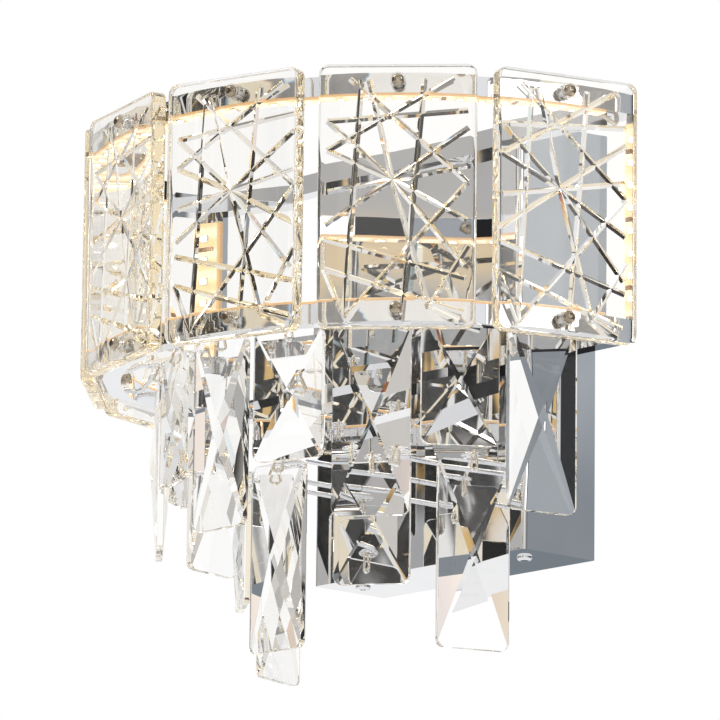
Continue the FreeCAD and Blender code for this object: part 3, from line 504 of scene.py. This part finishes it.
class GeometryTree:
    """A Geometry Nodes tree with named inputs, run once on a path and then taken off."""

    FINISH = "Finish"
    CORNER_STEPS = 3

    def __init__(self, name: str, inputs: dict[str, str]) -> None:
        """Starts the tree with its sockets.

        Args:
            name: The tree's name.
            inputs: Each named input's socket type, without its NodeSocket prefix.
        """
        shape = {"Geometry": "Geometry"}
        self.tree = new_tree(name, "GeometryNodeTree", {**shape, **inputs, self.FINISH: "Material"}, shape)
        self.sockets = {item.name: item.identifier for item in self.tree.interface.items_tree
                        if item.in_out == "INPUT"}
        self.desk = NodeDesk(self.tree)
        self.given = self.desk.step("NodeGroupInput").outputs
        self.step, self.result = self.desk.step, self.desk.result

    def rounded_outline(self, width: Socket, height: Socket) -> Socket:
        """Adds a rectangle whose corners are as round as the Corner input says."""
        outline = self.result("GeometryNodeCurvePrimitiveQuadrilateral", {"Width": width, "Height": height})
        feeds = {"Curve": outline, "Radius": self.given["Corner"], "Count": self.CORNER_STEPS}
        return self.result("GeometryNodeFilletCurve", feeds, mode="POLY")

    def join(self, *parts: Socket) -> Socket:
        """Joins geometry."""
        node = self.desk.step("GeometryNodeJoinGeometry")
        for part in parts:
            self.tree.links.new(part, node.inputs[0])
        return node.outputs[0]

    def end(self, geometry: Socket) -> None:
        """Realizes the instances, sets the material and closes the tree."""
        real = self.result("GeometryNodeRealizeInstances", {"Geometry": geometry})
        self.step("NodeGroupOutput", {0: self.result("GeometryNodeSetMaterial", {
            "Geometry": real, "Material": self.given[self.FINISH]})})

    def run(self, name: str, source: bpy.types.Mesh, values: dict[str, object],
            finish: Finish) -> bpy.types.Object:
        """Runs the tree on a mesh and returns the result as a plain mesh object.

        Args:
            name: The new piece's name.
            source: The path or points that the tree works on.
            values: The named inputs' values.
            finish: The finish of the result.

        Returns:
            The new object, with no modifier left.
        """
        piece = new_object(name, source)
        modifier = piece.modifiers.new(name, "NODES")
        modifier.node_group = self.tree
        for label, value in {**values, self.FINISH: finish.material()}.items():
            modifier[self.sockets[label]] = value
        piece.update_tag()
        graph = bpy.context.evaluated_depsgraph_get()
        graph.update()
        made = bpy.data.meshes.new_from_object(piece.evaluated_get(graph), depsgraph=graph)
        piece.modifiers.clear()
        piece.data = made
        made.name = name
        return piece


def line_mesh(name: str, runs: list[list[Vector]]) -> bpy.types.Mesh:
    """Mesh of bare edges along several paths.

    Args:
        name: The mesh's name.
        runs: Each path's points in order.

    Returns:
        The mesh.
    """
    points = [point for run in runs for point in run]
    edges = []
    start = 0
    for run in runs:
        edges += [(start + index, start + index + 1) for index in range(len(run) - 1)]
        start += len(run)
    mesh = bpy.data.meshes.new(name)
    mesh.from_pydata(points, edges, [])
    return mesh


class RowTree(GeometryTree):
    """Rounded blocks in a row along a path, such as lights, their windows or solder pads."""

    def __init__(self) -> None:
        """Builds the tree."""
        super().__init__("rounded_blocks_in_a_row", {
            **dict.fromkeys(("Pitch", "Length", "Width", "Height", "Corner", "Taper"), "Float"),
            "Facing": "Vector"})
        outline = self.rounded_outline(self.given["Length"], self.given["Width"])
        floor = self.result("GeometryNodeFillCurve", {"Curve": outline}, mode="NGONS")
        walls = self.step("GeometryNodeExtrudeMesh", {
            "Mesh": floor, "Offset Scale": self.given["Height"], "Individual": False})
        top = self.result("GeometryNodeScaleElements", {
            "Geometry": walls.outputs["Mesh"], "Selection": walls.outputs["Top"],
            "Scale": self.given["Taper"]})
        under = self.result("GeometryNodeFlipFaces", {"Mesh": floor})
        block = self.result("GeometryNodeMergeByDistance", {
            "Geometry": self.join(top, under), "Distance": MERGE_REACH})
        path = self.result("GeometryNodeMeshToCurve", {"Mesh": self.given["Geometry"]})
        spaced = self.result("GeometryNodeResampleCurve", {"Curve": path, "Length": self.given["Pitch"]},
                             mode="LENGTH")
        upright = self.result("FunctionNodeAlignRotationToVector", {"Vector": self.given["Facing"]}, axis="Z")
        tangent = self.result("GeometryNodeInputTangent")
        along = self.result("FunctionNodeAlignRotationToVector", {"Rotation": upright, "Vector": tangent},
                            axis="X", pivot_axis="Z")
        placed = self.result("GeometryNodeInstanceOnPoints", {
            "Points": spaced, "Instance": block, "Rotation": along})
        self.end(placed)


class SweepTree(GeometryTree):
    """A flat strip swept along a path. It notes the distance along it and which way each face looks."""

    def __init__(self) -> None:
        """Builds the tree."""
        super().__init__("strip_along_a_path", {
            **dict.fromkeys(("Width", "Height", "Corner"), "Float"), "Facing": "Vector"})
        path = self.result("GeometryNodeMeshToCurve", {"Mesh": self.given["Geometry"]})
        measure = self.desk.step("GeometryNodeSplineParameter")
        marked = self.kept(path, LitCoat.RUN, measure.outputs["Length"], "POINT")
        faced = self.result("GeometryNodeSetCurveNormal", {"Curve": marked, "Normal": self.given["Facing"]},
                            mode="FREE")
        outline = self.rounded_outline(self.given["Height"], self.given["Width"])
        swept = self.result("GeometryNodeCurveToMesh", {
            "Curve": faced, "Profile Curve": outline, "Fill Caps": True})
        normal = self.result("GeometryNodeInputNormal")
        share = self.desk.vector("DOT_PRODUCT", normal, self.given["Facing"])
        self.end(self.kept(swept, LitCoat.LIT, share, "FACE"))

    def kept(self, geometry: Socket, name: str, value: Socket, domain: str) -> Socket:
        """Stores a number on the geometry under a name."""
        feeds = {"Geometry": geometry, "Name": name, "Value": value}
        return self.result("GeometryNodeStoreNamedAttribute", feeds, data_type="FLOAT", domain=domain)


@dataclass
class GlassScreen:
    """The moulded plates round the lamp."""

    count: int = 6
    edge_radius: float = 1.3 * MILLIMETRE
    edge_steps: int = 4
    rim_reach: float = 0.05 * MILLIMETRE
    rim_turn: float = math.radians(60.0)
    level_share: float = 0.5
    groove_depth: float = 1.1 * MILLIMETRE
    polished_depth: float = 0.76 * MILLIMETRE
    smooth: float = math.radians(25.0)

    def broad_faces(self, work: bmesh.types.BMesh) -> list[bmesh.types.BMFace]:
        """Finds the plate's back and front faces, its two largest. The front one lies further out."""
        largest = sorted(work.faces, key=lambda face: face.calc_area())[-2:]
        return sorted(largest, key=lambda face: face.calc_center_median().xy.length)

    def rim_edges(self, work: bmesh.types.BMesh) -> list[bmesh.types.BMEdge]:
        """Finds the edges round a plate's front and back faces, and leaves out those of its grooves.

        Args:
            work: The plate's merged mesh.

        Returns:
            The edges.
        """
        front = self.broad_faces(work)[1]
        normal = front.normal.copy()
        centre = sum((v.co for v in work.verts), Vector()) / len(work.verts)
        side = normal.cross(UP).normalized()
        across = [(v.co - centre).dot(side) for v in work.verts]
        heights = [v.co.z for v in work.verts]
        low, high = min(heights), max(heights)
        left, right = min(across), max(across)
        middle = (left + right) / 2
        half_width, half_height = (right - left) / 2, (high - low) / 2
        corner = self.corner_radius(front, side, centre, right)

        def on_outline(vert: bmesh.types.BMVert) -> bool:
            """True where a corner of the mesh lies on the plate's outline."""
            x = abs((vert.co - centre).dot(side) - middle) - (half_width - corner)
            z = abs(vert.co.z - (low + high) / 2) - (half_height - corner)
            reach = math.hypot(max(x, 0.0), max(z, 0.0)) + min(max(x, z), 0.0) - corner
            return abs(reach) < self.rim_reach

        found = []
        for edge in work.edges:
            along = (edge.verts[0].co - edge.verts[1].co).normalized()
            level = abs(along.dot(normal)) < self.level_share
            if level and edge.calc_face_angle(0.0) > self.rim_turn and all(map(on_outline, edge.verts)):
                found.append(edge)
        return found

    def corner_radius(self, front: bmesh.types.BMFace, side: Vector, centre: Vector, right: float) -> float:
        """Reads a plate's corner radius off its front face, which reaches right across from its centre."""
        highest = max(vert.co.z for vert in front.verts)
        top = [vert.co for vert in front.verts if highest - vert.co.z < self.rim_reach / 10]
        return right - max((place - centre).dot(side) for place in top)

    def soften_grooves(self, work: bmesh.types.BMesh) -> None:
        """Makes the grooves in a plate's merged mesh as shallow as the polished glass shows them."""
        back = self.broad_faces(work)[0]
        normal, seat = back.normal.copy(), back.verts[0].co.copy()
        share = self.polished_depth / self.groove_depth
        for vert in work.verts:
            depth = (seat - vert.co).dot(normal)
            if self.rim_reach < depth < self.groove_depth + self.rim_reach:
                vert.co += normal * depth * (1 - share)

    def build(self) -> None:
        """Makes each plate from its CAD node, with its moulded edges rounded."""
        for number in range(1, self.count + 1):
            node = f"glass_plate_{number}"
            work = merged_mesh(node)
            self.soften_grooves(work)
            edges = self.rim_edges(work)
            break_edges(work, edges, self.edge_radius, self.edge_steps)
            piece = finished_piece(work, f"moulded_plate_{number}", PLATE_GLASS, self.smooth)
            stand_for(piece, ROOT_BODY, PLATE_GLASS.slot, node)
            LOG.info("%s: %d rounded edges, %d faces", piece.name, len(edges), len(piece.data.polygons))


@dataclass
class Crystals:
    """The cut crystals of both rows."""

    outer: int = 9
    inner: int = 5
    rim_bevel: float = 0.25 * MILLIMETRE
    rim_turn: float = math.radians(40.0)
    smooth: float = math.radians(4.0)

    def names(self) -> list[tuple[str, int]]:
        """Every crystal as its row and number."""
        rows = (("outer", self.outer), ("inner", self.inner))
        return [(row, number) for row, count in rows for number in range(1, count + 1)]

    def build(self) -> None:
        """Makes each crystal from its CAD node, with its rim's edges broken."""
        for row, number in self.names():
            node, body = f"{row}_crystal_{number}", f"{row}_pendant_{number}"
            work = merged_mesh(node)
            rim = [edge for edge in work.edges if edge.calc_face_angle(0.0) > self.rim_turn]
            break_edges(work, rim, self.rim_bevel, 1)
            piece = finished_piece(work, f"cut_crystal_{row}_{number}", CRYSTAL, self.smooth)
            stand_for(piece, body, CRYSTAL.slot, node)
            dress_node(f"{row}_link_{number}", WIRE)
        LOG.info("crystals: %d", len(self.names()))


@dataclass(frozen=True)
class Block:
    """One kind of small block in a row on a light strip."""

    label: str
    length: float
    width: float
    height: float
    lift: float
    taper: float
    lights_apart: int
    finish: Finish

    def values(self, pitch: float, corner: float, facing: Facing) -> dict[str, object]:
        """The row tree's inputs for this kind, on a strip with a pitch of lights that faces one way."""
        return {"Pitch": pitch * self.lights_apart * PITCH_SLACK, "Length": self.length, "Width": self.width,
                "Height": self.height, "Corner": corner, "Taper": self.taper, "Facing": facing.value}


@dataclass
class LightStrips:
    """The light strips on the frames and posts, with their lights, windows and solder pads."""

    pitch: float = LIGHT_PITCH
    width: float = 8.0 * MILLIMETRE
    arc_half_angle: float = math.radians(84.0)
    arc_step: float = math.radians(1.0)
    corner: float = 0.45 * MILLIMETRE
    coat_corner: float = 0.5 * MILLIMETRE
    smooth: float = math.radians(40.0)
    blocks: tuple[Block, ...] = (
        Block("housings", 0.0035, 0.0028, 0.00035, -0.00005, 0.94, 1, HOUSING),
        Block("windows", 0.0027, 0.0021, 0.00012, 0.00025, 0.92, 1, LENS),
        Block("pads", 0.0022, 0.0064, 0.00005, -0.000025, 1.0, 3, COPPER))

    def arc_run(self, centre: Vector, radius: float, height: float) -> list[Vector]:
        """Points along a frame's arc, from its left end to its right end."""
        steps = round(2 * self.arc_half_angle / self.arc_step)
        points = []
        for index in range(steps + 1):
            turn = -self.arc_half_angle + index * self.arc_step
            x, y = centre.x + radius * math.sin(turn), centre.y - radius * math.cos(turn)
            points.append(Vector((x, y, height)))
        return points

    def shortened(self, run: list[Vector]) -> list[Vector]:
        """Path from the first to the last light, with at least a quarter pitch left at each end."""
        lengths = [(b - a).length for a, b in zip(run, run[1:])]
        total = sum(lengths)
        spare = (total - math.floor(total / self.pitch - 0.5) * self.pitch) / 2
        return self.trimmed(run, spare)

    def trimmed(self, run: list[Vector], distance: float) -> list[Vector]:
        """Takes a distance off both of a path's ends."""
        return self.cut(self.cut(run, distance)[::-1], distance)[::-1]

    def cut(self, run: list[Vector], distance: float) -> list[Vector]:
        """Takes a distance off a path's start."""
        rest = list(run)
        while len(rest) > 2 and (rest[1] - rest[0]).length < distance:
            distance -= (rest[1] - rest[0]).length
            rest.pop(0)
        along = (rest[1] - rest[0]).normalized()
        rest[0] = rest[0] + along * distance
        return rest

    def frame_run(self, node: str, facing: Facing) -> list[Vector]:
        """Path of a frame's strip, on its lit face.

        Args:
            node: The strip's CAD node.
            facing: Which way it looks.

        Returns:
            The path.
        """
        low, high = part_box(node)
        frame_low, frame_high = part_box("bottom_frame")
        lit = high.z if facing is Facing.UP else low.z
        centre = Vector((0.0, frame_low.y + frame_high.x, 0.0))
        return self.arc_run(centre, centre.y - low.y - self.width / 2, lit)

    def build(self) -> None:
        """Makes the strips' coats, lights, windows and pads."""
        rows, sweep = RowTree(), SweepTree()
        for node, facing in (("led_strip_top", Facing.DOWN), ("led_strip_bottom", Facing.UP)):
            low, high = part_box(node)
            self.dress_strip(node, [self.frame_run(node, facing)], high.z - low.z, facing, rows, sweep)
        low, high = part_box("led_strips_side")
        middle = high.x - self.width / 2
        runs = [[Vector((side * middle, low.y, low.z)), Vector((side * middle, low.y, high.z))]
                for side in (-1, 1)]
        self.dress_strip("led_strips_side", runs, high.y - low.y, Facing.OUT, rows, sweep)

    def dress_strip(self, node: str, runs: list[list[Vector]], thickness: float, facing: Facing,
                    rows: RowTree, sweep: SweepTree) -> None:
        """Makes one node's strips with all that sits on them.

        Args:
            node: The strip's CAD node, which the coat stands for.
            runs: The strips' paths on their lit face.
            thickness: The strips' thickness.
            facing: Which way they look.
            rows: The tree that sets blocks in a row.
            sweep: The tree that sweeps a strip.
        """
        way = Vector(facing.value)
        inner = [[point - way * thickness / 2 for point in run] for run in runs]
        coat = sweep.run(f"{node}_coat", line_mesh(node, inner), {
            "Width": self.width, "Height": thickness, "Corner": self.coat_corner,
            "Facing": facing.value}, COAT)
        coat.data.shade_smooth()
        coat.data.set_sharp_from_angle(angle=self.smooth)
        stand_for(coat, ROOT_BODY, COAT.slot, node)
        for block in self.blocks:
            inset = self.pitch / 2 if block.lights_apart > 1 else 0.0
            paths = [[point + way * block.lift for point in self.trimmed(self.shortened(run), inset)]
                     for run in runs]
            piece = rows.run(f"{node}_{block.label}", line_mesh(block.label, paths),
                             block.values(self.pitch, self.corner, facing), block.finish)
            stand_for(piece, ROOT_BODY, block.finish.slot)
        LOG.info("%s: %d lit runs", node, len(runs))


@dataclass
class CarriedParts:
    """CAD nodes that keep their own meshes and only take a finish."""

    finishes: tuple[tuple[Finish, tuple[str, ...]], ...] = (
        (CHROME, ("wall_box", "top_frame", "bottom_frame", "end_posts", "box_screws", "ring_hangers",
                  "box_hangers")),
        (NICKEL, ("earth_screw", "terminal_screw", "driver_screws", "frame_screws", "hanger_nuts")),
        (KNOB, ("plate_screws", "plate_nuts")),
        (ZINC, ("wall_bracket",)),
        (WASHER, ("plate_washers",)),
        (CASING, ("led_driver",)),
        (TERMINAL, ("terminal_block",)),
        (SLEEVE, ("supply_leads", "strip_lead")),
        (RUBBER, ("lead_grommet",)))

    def build(self) -> None:
        """Dresses the nodes."""
        for finish, nodes in self.finishes:
            for node in nodes:
                dress_node(node, finish)
        LOG.info("carried parts: %d", sum(len(nodes) for _, nodes in self.finishes))


@dataclass(frozen=True)
class Panel:
    """A soft-edged panel of the studio. Angles are in degrees, and azimuth 0 is straight out of the wall."""

    azimuth: float
    elevation: float
    half_width: float
    half_height: float
    shade: Colour
    soft: float


def grey(level: float, warmth: float = 0.0) -> Colour:
    """Grey of one level, a little warmer or cooler."""
    return (level * (1 + warmth), level, level * (1 - warmth))


class PanelSky:
    """A shader group that gives the studio's colour in a direction."""

    WIDEST = 180.0
    HIGHEST = 89.0

    def __init__(self, name: str, panels: tuple[Panel, ...]) -> None:
        """Builds the group.

        Args:
            name: The group's name.
            panels: The panels, of which later ones cover earlier ones.
        """
        self.tree = new_tree(name, "ShaderNodeTree", {"Direction": "Vector", "Behind": "Color"},
                             {"Color": "Color"})
        self.desk = NodeDesk(self.tree)
        self.ray, shade, _ = self.desk.step("NodeGroupInput").outputs
        self.level = self.desk.vector("NORMALIZE", self.desk.vector("MULTIPLY", self.ray, (1.0, 1.0, 0.0)))
        self.rise = self.desk.step("ShaderNodeSeparateXYZ", {0: self.ray}).outputs["Z"]
        for panel in panels:
            shade = self.desk.mix(self.mask(panel), shade, panel.shade)
        self.out = self.desk.step("NodeGroupOutput").inputs[0]
        self.desk.feed(self.out, shade)

    def mask(self, panel: Panel) -> Socket:
        """Adds the mask of one panel, from 0 to 1."""
        dot = self.desk.vector("DOT_PRODUCT", self.level, tuple(direction(panel.azimuth, 0.0)))
        far = math.cos(math.radians(min(panel.half_width + panel.soft, self.WIDEST)))
        near = math.cos(math.radians(min(panel.half_width, self.WIDEST - 1.0)))
        across = self.desk.ramp(dot, far, near)
        low, high = panel.elevation - panel.half_height, panel.elevation + panel.half_height
        sines = [math.sin(math.radians(max(-self.HIGHEST, min(self.HIGHEST, angle))))
                 for angle in (low - panel.soft, low, high, high + panel.soft)]
        above = self.desk.ramp(self.rise, sines[0], sines[1]) if low > -self.HIGHEST else 1.0
        below = self.desk.ramp(self.rise, sines[2], sines[3], 1.0, 0.0) if high < self.HIGHEST else 1.0
        return self.desk.math("MULTIPLY", across, self.desk.math("MULTIPLY", above, below))

    def look(self, desk: NodeDesk, ray: Socket, behind: Colour | Socket) -> Socket:
        """Adds this group to a tree and returns the colour that it shows over the one behind its panels."""
        return desk.result("ShaderNodeGroup", {0: ray, 1: behind}, node_tree=self.tree)


def direction(azimuth: float, elevation: float) -> Vector:
    """Unit vector from the lamp towards an azimuth and elevation in degrees."""
    turn, rise = math.radians(azimuth), math.radians(elevation)
    return Vector((math.sin(turn) * math.cos(rise), -math.cos(turn) * math.cos(rise), math.sin(rise)))


class Streaks(PanelSky):
    """A shader group with the share of painted glints: thin slanted streaks of light, such as cut glass
    throws on what faces it.
    """

    LIGHT = (0.9, 0.89, 0.87)
    # Painted warm glints, standing for the light strips' warm light that cut glass shows.
    GOLD_GLINT = (0.75, 0.5, 0.2)
    GOLD_GLINT_SCALE = 30.0
    GOLD_GLINT_EDGES = (0.52, 0.58)
    LINE_EDGES = (0.55, 0.62)
    DARK_EDGES = (0.12, 0.3)
    MIDDLE = tuple(direction(312.0, 10.0))
    SLANT = math.radians(-13.0)
    LAYERS = ((Panel(310.0, 12.0, 28.0, 28.0, LIGHT, 6.0), (90.0, 90.0, 9.0)),
              (Panel(312.0, 9.0, 6.0, 8.0, LIGHT, 2.0), (1100.0, 1100.0, 120.0)))

    def __init__(self) -> None:
        """Builds the group: white where a streak is, black elsewhere."""
        super().__init__("painted_glass_glints", ())
        feeds = {"Vector": self.ray, "Axis": self.MIDDLE, "Angle": self.SLANT}
        slanted = self.desk.result("ShaderNodeVectorRotate", feeds, rotation_type="AXIS_ANGLE")
        share: Value = 0.0
        for area, scale in self.LAYERS:
            stretched = self.desk.result("ShaderNodeMapping", {"Vector": slanted, "Scale": scale})
            lines = self.desk.ramp(self.desk.noise(stretched, 1.0, 1.5, 0.6), *self.LINE_EDGES)
            share = self.desk.math("MAXIMUM", share, self.desk.math("MULTIPLY", lines, self.mask(area)))
        self.desk.feed(self.out, share)

    def over(self, desk: NodeDesk, ray: Socket, shade: Socket) -> Socket:
        """Lays the streaks, painted glints of light, over a sky where it is dark.

        Args:
            desk: The world's desk.
            ray: The direction that is looked in.
            shade: The sky's colour there.

        Returns:
            The colour with the painted glints.
        """
        level = desk.result("ShaderNodeRGBToBW", {0: shade})
        dark = desk.ramp(level, *self.DARK_EDGES, 1.0, 0.0)
        share = desk.result("ShaderNodeRGBToBW", {0: self.look(desk, ray, (0.0, 0.0, 0.0))})
        warm = desk.ramp(desk.noise(ray, self.GOLD_GLINT_SCALE, 1.0), *self.GOLD_GLINT_EDGES)
        streak = desk.mix(warm, self.LIGHT, self.GOLD_GLINT)
        return desk.mix(desk.math("MULTIPLY", dark, share), shade, streak)


@dataclass(frozen=True)
class Softbox:
    """A square soft lamp that looks at the sconce's middle."""

    name: str
    azimuth: float
    elevation: float
    reach: float
    side: float
    power: float


@dataclass
class Studio:
    """Camera, floor, lamps and the surroundings."""

    azimuth: float = 48.350
    elevation: float = -11.915
    roll: float = 0.669
    distance: float = 2.890845
    target: tuple[float, float, float] = (0.021901, -0.1, -0.013189)
    sight: float = 100.0
    bounces: int = 24
    floor_drop: float = 1.6
    floor_half: float = 5.0
    floor_shade: Colour = (0.94, 0.94, 0.94)
    floor_glow: float = 0.75
    softboxes: tuple[Softbox, ...] = (
        Softbox("key_softbox", 335.0, 48.0, 1.9, 0.9, 9.0),
        Softbox("fill_softbox", 95.0, 25.0, 2.1, 1.0, 5.0))
    plain_light: float = 0.62
    white: Colour = (1.0, 1.0, 1.0)
    fringe: float = math.radians(0.22)
    mirror_base: Colour = (0.025, 0.025, 0.027)
    mirror_panels: tuple[Panel, ...] = (
        Panel(235.0, 20.0, 60.0, 75.0, grey(0.95), 6.0),
        Panel(0.0, 75.0, 180.0, 18.0, grey(0.85), 12.0),
        Panel(0.0, -70.0, 180.0, 25.0, grey(0.8), 14.0),
        Panel(206.0, -14.0, 20.95, 9.0, grey(0.23, -0.12), 0.4),
        Panel(133.0, 32.0, 9.0, 21.5, grey(0.44, -0.06), 2.0),
        Panel(133.0, 3.0, 9.0, 7.6, grey(0.3, -0.08), 1.2),
        Panel(98.0, 10.0, 4.0, 35.0, grey(0.9), 1.5),
        Panel(86.0, 4.0, 7.0, 40.0, grey(0.4, -0.04), 3.0),
        Panel(74.0, 10.0, 3.0, 35.0, grey(0.9), 0.7),
        Panel(65.0, 10.0, 5.0, 35.0, grey(0.4), 0.7),
        Panel(46.0, 10.0, 13.0, 32.0, grey(0.95), 1.0),
        Panel(24.0, 10.0, 8.0, 32.0, grey(0.34), 1.0),
        Panel(4.0, 10.0, 11.0, 35.0, grey(0.78), 2.0),
        Panel(310.0, 12.0, 24.0, 40.0, grey(0.015), 2.0),
        Panel(275.0, 10.0, 12.0, 30.0, grey(0.42), 2.0),
        Panel(291.0, 8.0, 1.5, 35.0, grey(0.9), 0.6),
    )
    # Painted reflection on the box front: grey bands, a warm line and a bright spot, laid in the surroundings
    # just where its mirror looks.
    box_front_painted_reflection: tuple[Panel, ...] = (
        Panel(312.0, 16.2, 5.0, 3.6, grey(0.48, 0.03), 0.4),
        Panel(312.0, 6.4, 5.0, 4.0, grey(0.42), 0.4),
        Panel(312.0, 12.87, 5.0, 0.15, (0.8, 0.64, 0.42), 0.25),
        Panel(312.67, 12.78, 0.17, 0.1, (1.0, 0.95, 0.8), 0.1),
    )
    glass_base: Colour = (0.86, 0.84, 0.8)
    glass_panels: tuple[Panel, ...] = (
        Panel(48.0, 10.0, 85.0, 40.0, grey(0.3, 0.04), 4.0),
        Panel(46.0, 10.0, 14.0, 28.0, (1.0, 0.97, 0.92), 1.0),
        Panel(4.0, 10.0, 7.0, 35.0, grey(0.9), 1.0),
        Panel(344.0, 10.0, 7.0, 30.0, (0.9, 0.8, 0.62), 2.0),
        Panel(101.0, 10.0, 7.0, 35.0, (0.9, 0.82, 0.68), 1.0),
        Panel(308.0, 12.0, 28.0, 45.0, grey(0.02), 2.0),
        Panel(284.0, 8.0, 5.0, 35.0, (0.92, 0.84, 0.7), 1.0),
        Panel(0.0, 75.0, 180.0, 25.0, (0.82, 0.75, 0.64), 12.0),
        Panel(0.0, -70.0, 180.0, 25.0, (0.85, 0.8, 0.7), 14.0),
        Panel(228.0, 12.0, 46.0, 24.0, grey(0.76, 0.03), 4.0),
        Panel(212.0, 12.0, 2.0, 26.0, grey(0.55, 0.04), 1.0),
        Panel(245.0, 12.0, 2.0, 26.0, grey(0.55, 0.04), 1.0),
        Panel(228.0, 12.0, 12.0, 15.0, grey(1.0), 3.0),
        Panel(203.0, 12.0, 4.0, 20.0, grey(1.0), 1.0),
        Panel(254.0, 12.0, 4.0, 20.0, grey(1.0), 1.0),
    )

    def build(self) -> None:
        """Makes the camera, floor, lamps and surroundings."""
        self.camera()
        self.floor()
        self.lamps()
        self.surroundings()
        scene = bpy.context.scene
        scene.view_settings.view_transform = "Standard"
        for limit in ("max_bounces", "glossy_bounces", "transmission_bounces"):
            setattr(scene.cycles, limit, self.bounces)

    def camera(self) -> None:
        """Sets the camera at the photograph's place."""
        data = bpy.data.cameras.new("photo_camera")
        data.sensor_width = SENSOR_WIDTH
        data.lens = FOCAL_PIXELS / PHOTO_SIDE_PIXELS * SENSOR_WIDTH
        back = direction(self.azimuth, self.elevation)
        level = (-back).cross(UP).normalized()
        rise = level.cross(-back)
        roll = math.radians(self.roll)
        right = level * math.cos(roll) + rise * math.sin(roll)
        up = rise * math.cos(roll) - level * math.sin(roll)
        data.clip_end = self.sight
        camera = new_object("photo_camera", data)
        camera.matrix_world = Matrix((right, up, back)).transposed().to_4x4()
        camera.location = Vector(self.target) + back * self.distance
        bpy.context.scene.camera = camera

    def floor(self) -> None:
        """Lays a plain pale floor far below the sconce."""
        half = self.floor_half
        mesh = bpy.data.meshes.new("floor")
        corners = [(-half, -half), (half, -half), (half, half), (-half, half)]
        mesh.from_pydata([(x, y, -self.floor_drop) for x, y in corners], [], [(0, 1, 2, 3)])
        floor = new_object("floor", mesh)
        material = bpy.data.materials.new("pale_floor")
        material.use_nodes = True
        desk = NodeDesk(material.node_tree)
        paint = desk.result("ShaderNodeBsdfDiffuse", {"Color": self.floor_shade})
        glow = desk.result("ShaderNodeEmission")
        path = desk.step("ShaderNodeLightPath").outputs
        seen = desk.math("MAXIMUM", path["Is Camera Ray"], path["Is Glossy Ray"])
        seen = desk.math("MAXIMUM", seen, path["Is Transmission Ray"])
        blend = desk.result("ShaderNodeMixShader", {
            0: desk.math("MULTIPLY", seen, self.floor_glow), 1: paint, 2: glow})
        desk.step("ShaderNodeOutputMaterial", {"Surface": blend})
        mesh.materials.append(material)

    def lamps(self) -> None:
        """Hangs the soft lamps."""
        for box in self.softboxes:
            data = bpy.data.lights.new(box.name, "AREA")
            data.shape = "SQUARE"
            data.size = box.side
            data.energy = box.power
            lamp = new_object(box.name, data)
            back = direction(box.azimuth, box.elevation)
            lamp.location = Vector(self.target) + back * box.reach
            lamp.rotation_euler = back.to_track_quat("Z", "Y").to_euler()

    def turned(self, desk: NodeDesk, ray: Socket, angle: float) -> Socket:
        """Turns a direction about the upright and tilts it by the same angle."""
        feeds = {"Vector": ray, "Rotation": (angle, -angle, angle)}
        return desk.result("ShaderNodeVectorRotate", feeds, rotation_type="EULER_XYZ")

    def fringed(self, desk: NodeDesk, sky: PanelSky, ray: Socket) -> Socket:
        """What glass shows: each primary comes from its own direction, as a prism would spread them."""
        primaries = []
        for index in range(3):
            colour = sky.look(desk, self.turned(desk, ray, (index - 1) * self.fringe), self.glass_base)
            primaries.append(desk.step("ShaderNodeSeparateColor", {0: colour}).outputs[index])
        return desk.result("ShaderNodeCombineColor", dict(enumerate(primaries)))

    def surroundings(self) -> None:
        """White where the camera looks, and a studio of panels for metal and glass, with painted glints over
        its dark panels and a painted reflection for the box front.
        """
        world = bpy.data.worlds.new("studio")
        world.use_nodes = True
        bpy.context.scene.world = world
        desk = NodeDesk(world.node_tree)
        ray = desk.step("ShaderNodeTexCoord").outputs["Generated"]
        # box_front holds the painted reflection on the box front.
        streaks, box_front = Streaks(), PanelSky("box_front_painted_reflection", self.box_front_painted_reflection)
        metal_sees = PanelSky("mirror_panels", self.mirror_panels).look(desk, ray, self.mirror_base)
        # Painted glints laid over what metal and glass see where it is dark.
        metal_sees = streaks.over(desk, ray, box_front.look(desk, ray, metal_sees))
        glass_sees = self.fringed(desk, PanelSky("glass_panels", self.glass_panels), ray)
        glass_sees = streaks.over(desk, ray, box_front.look(desk, ray, glass_sees))
        path = desk.step("ShaderNodeLightPath").outputs
        sharp = desk.math("MAXIMUM", path["Is Glossy Ray"], path["Is Transmission Ray"])
        seen = desk.mix(path["Is Transmission Ray"], metal_sees, glass_sees)
        lit = desk.mix(sharp, grey(self.plain_light), seen)
        shown = desk.mix(path["Is Camera Ray"], lit, self.white)
        background = desk.result("ShaderNodeBackground", {"Color": shown})
        desk.step("ShaderNodeOutputWorld", {"Surface": background})


def main() -> None:
    """Builds every sub-assembly and the studio, and reports each one."""
    logging.basicConfig(level=logging.INFO, format="%(message)s")
    for assembly in (Studio(), CarriedParts(), GlassScreen(), Crystals(), LightStrips()):
        assembly.build()
        LOG.info("built %s", type(assembly).__name__)


if __name__ == "__main__":
    main()
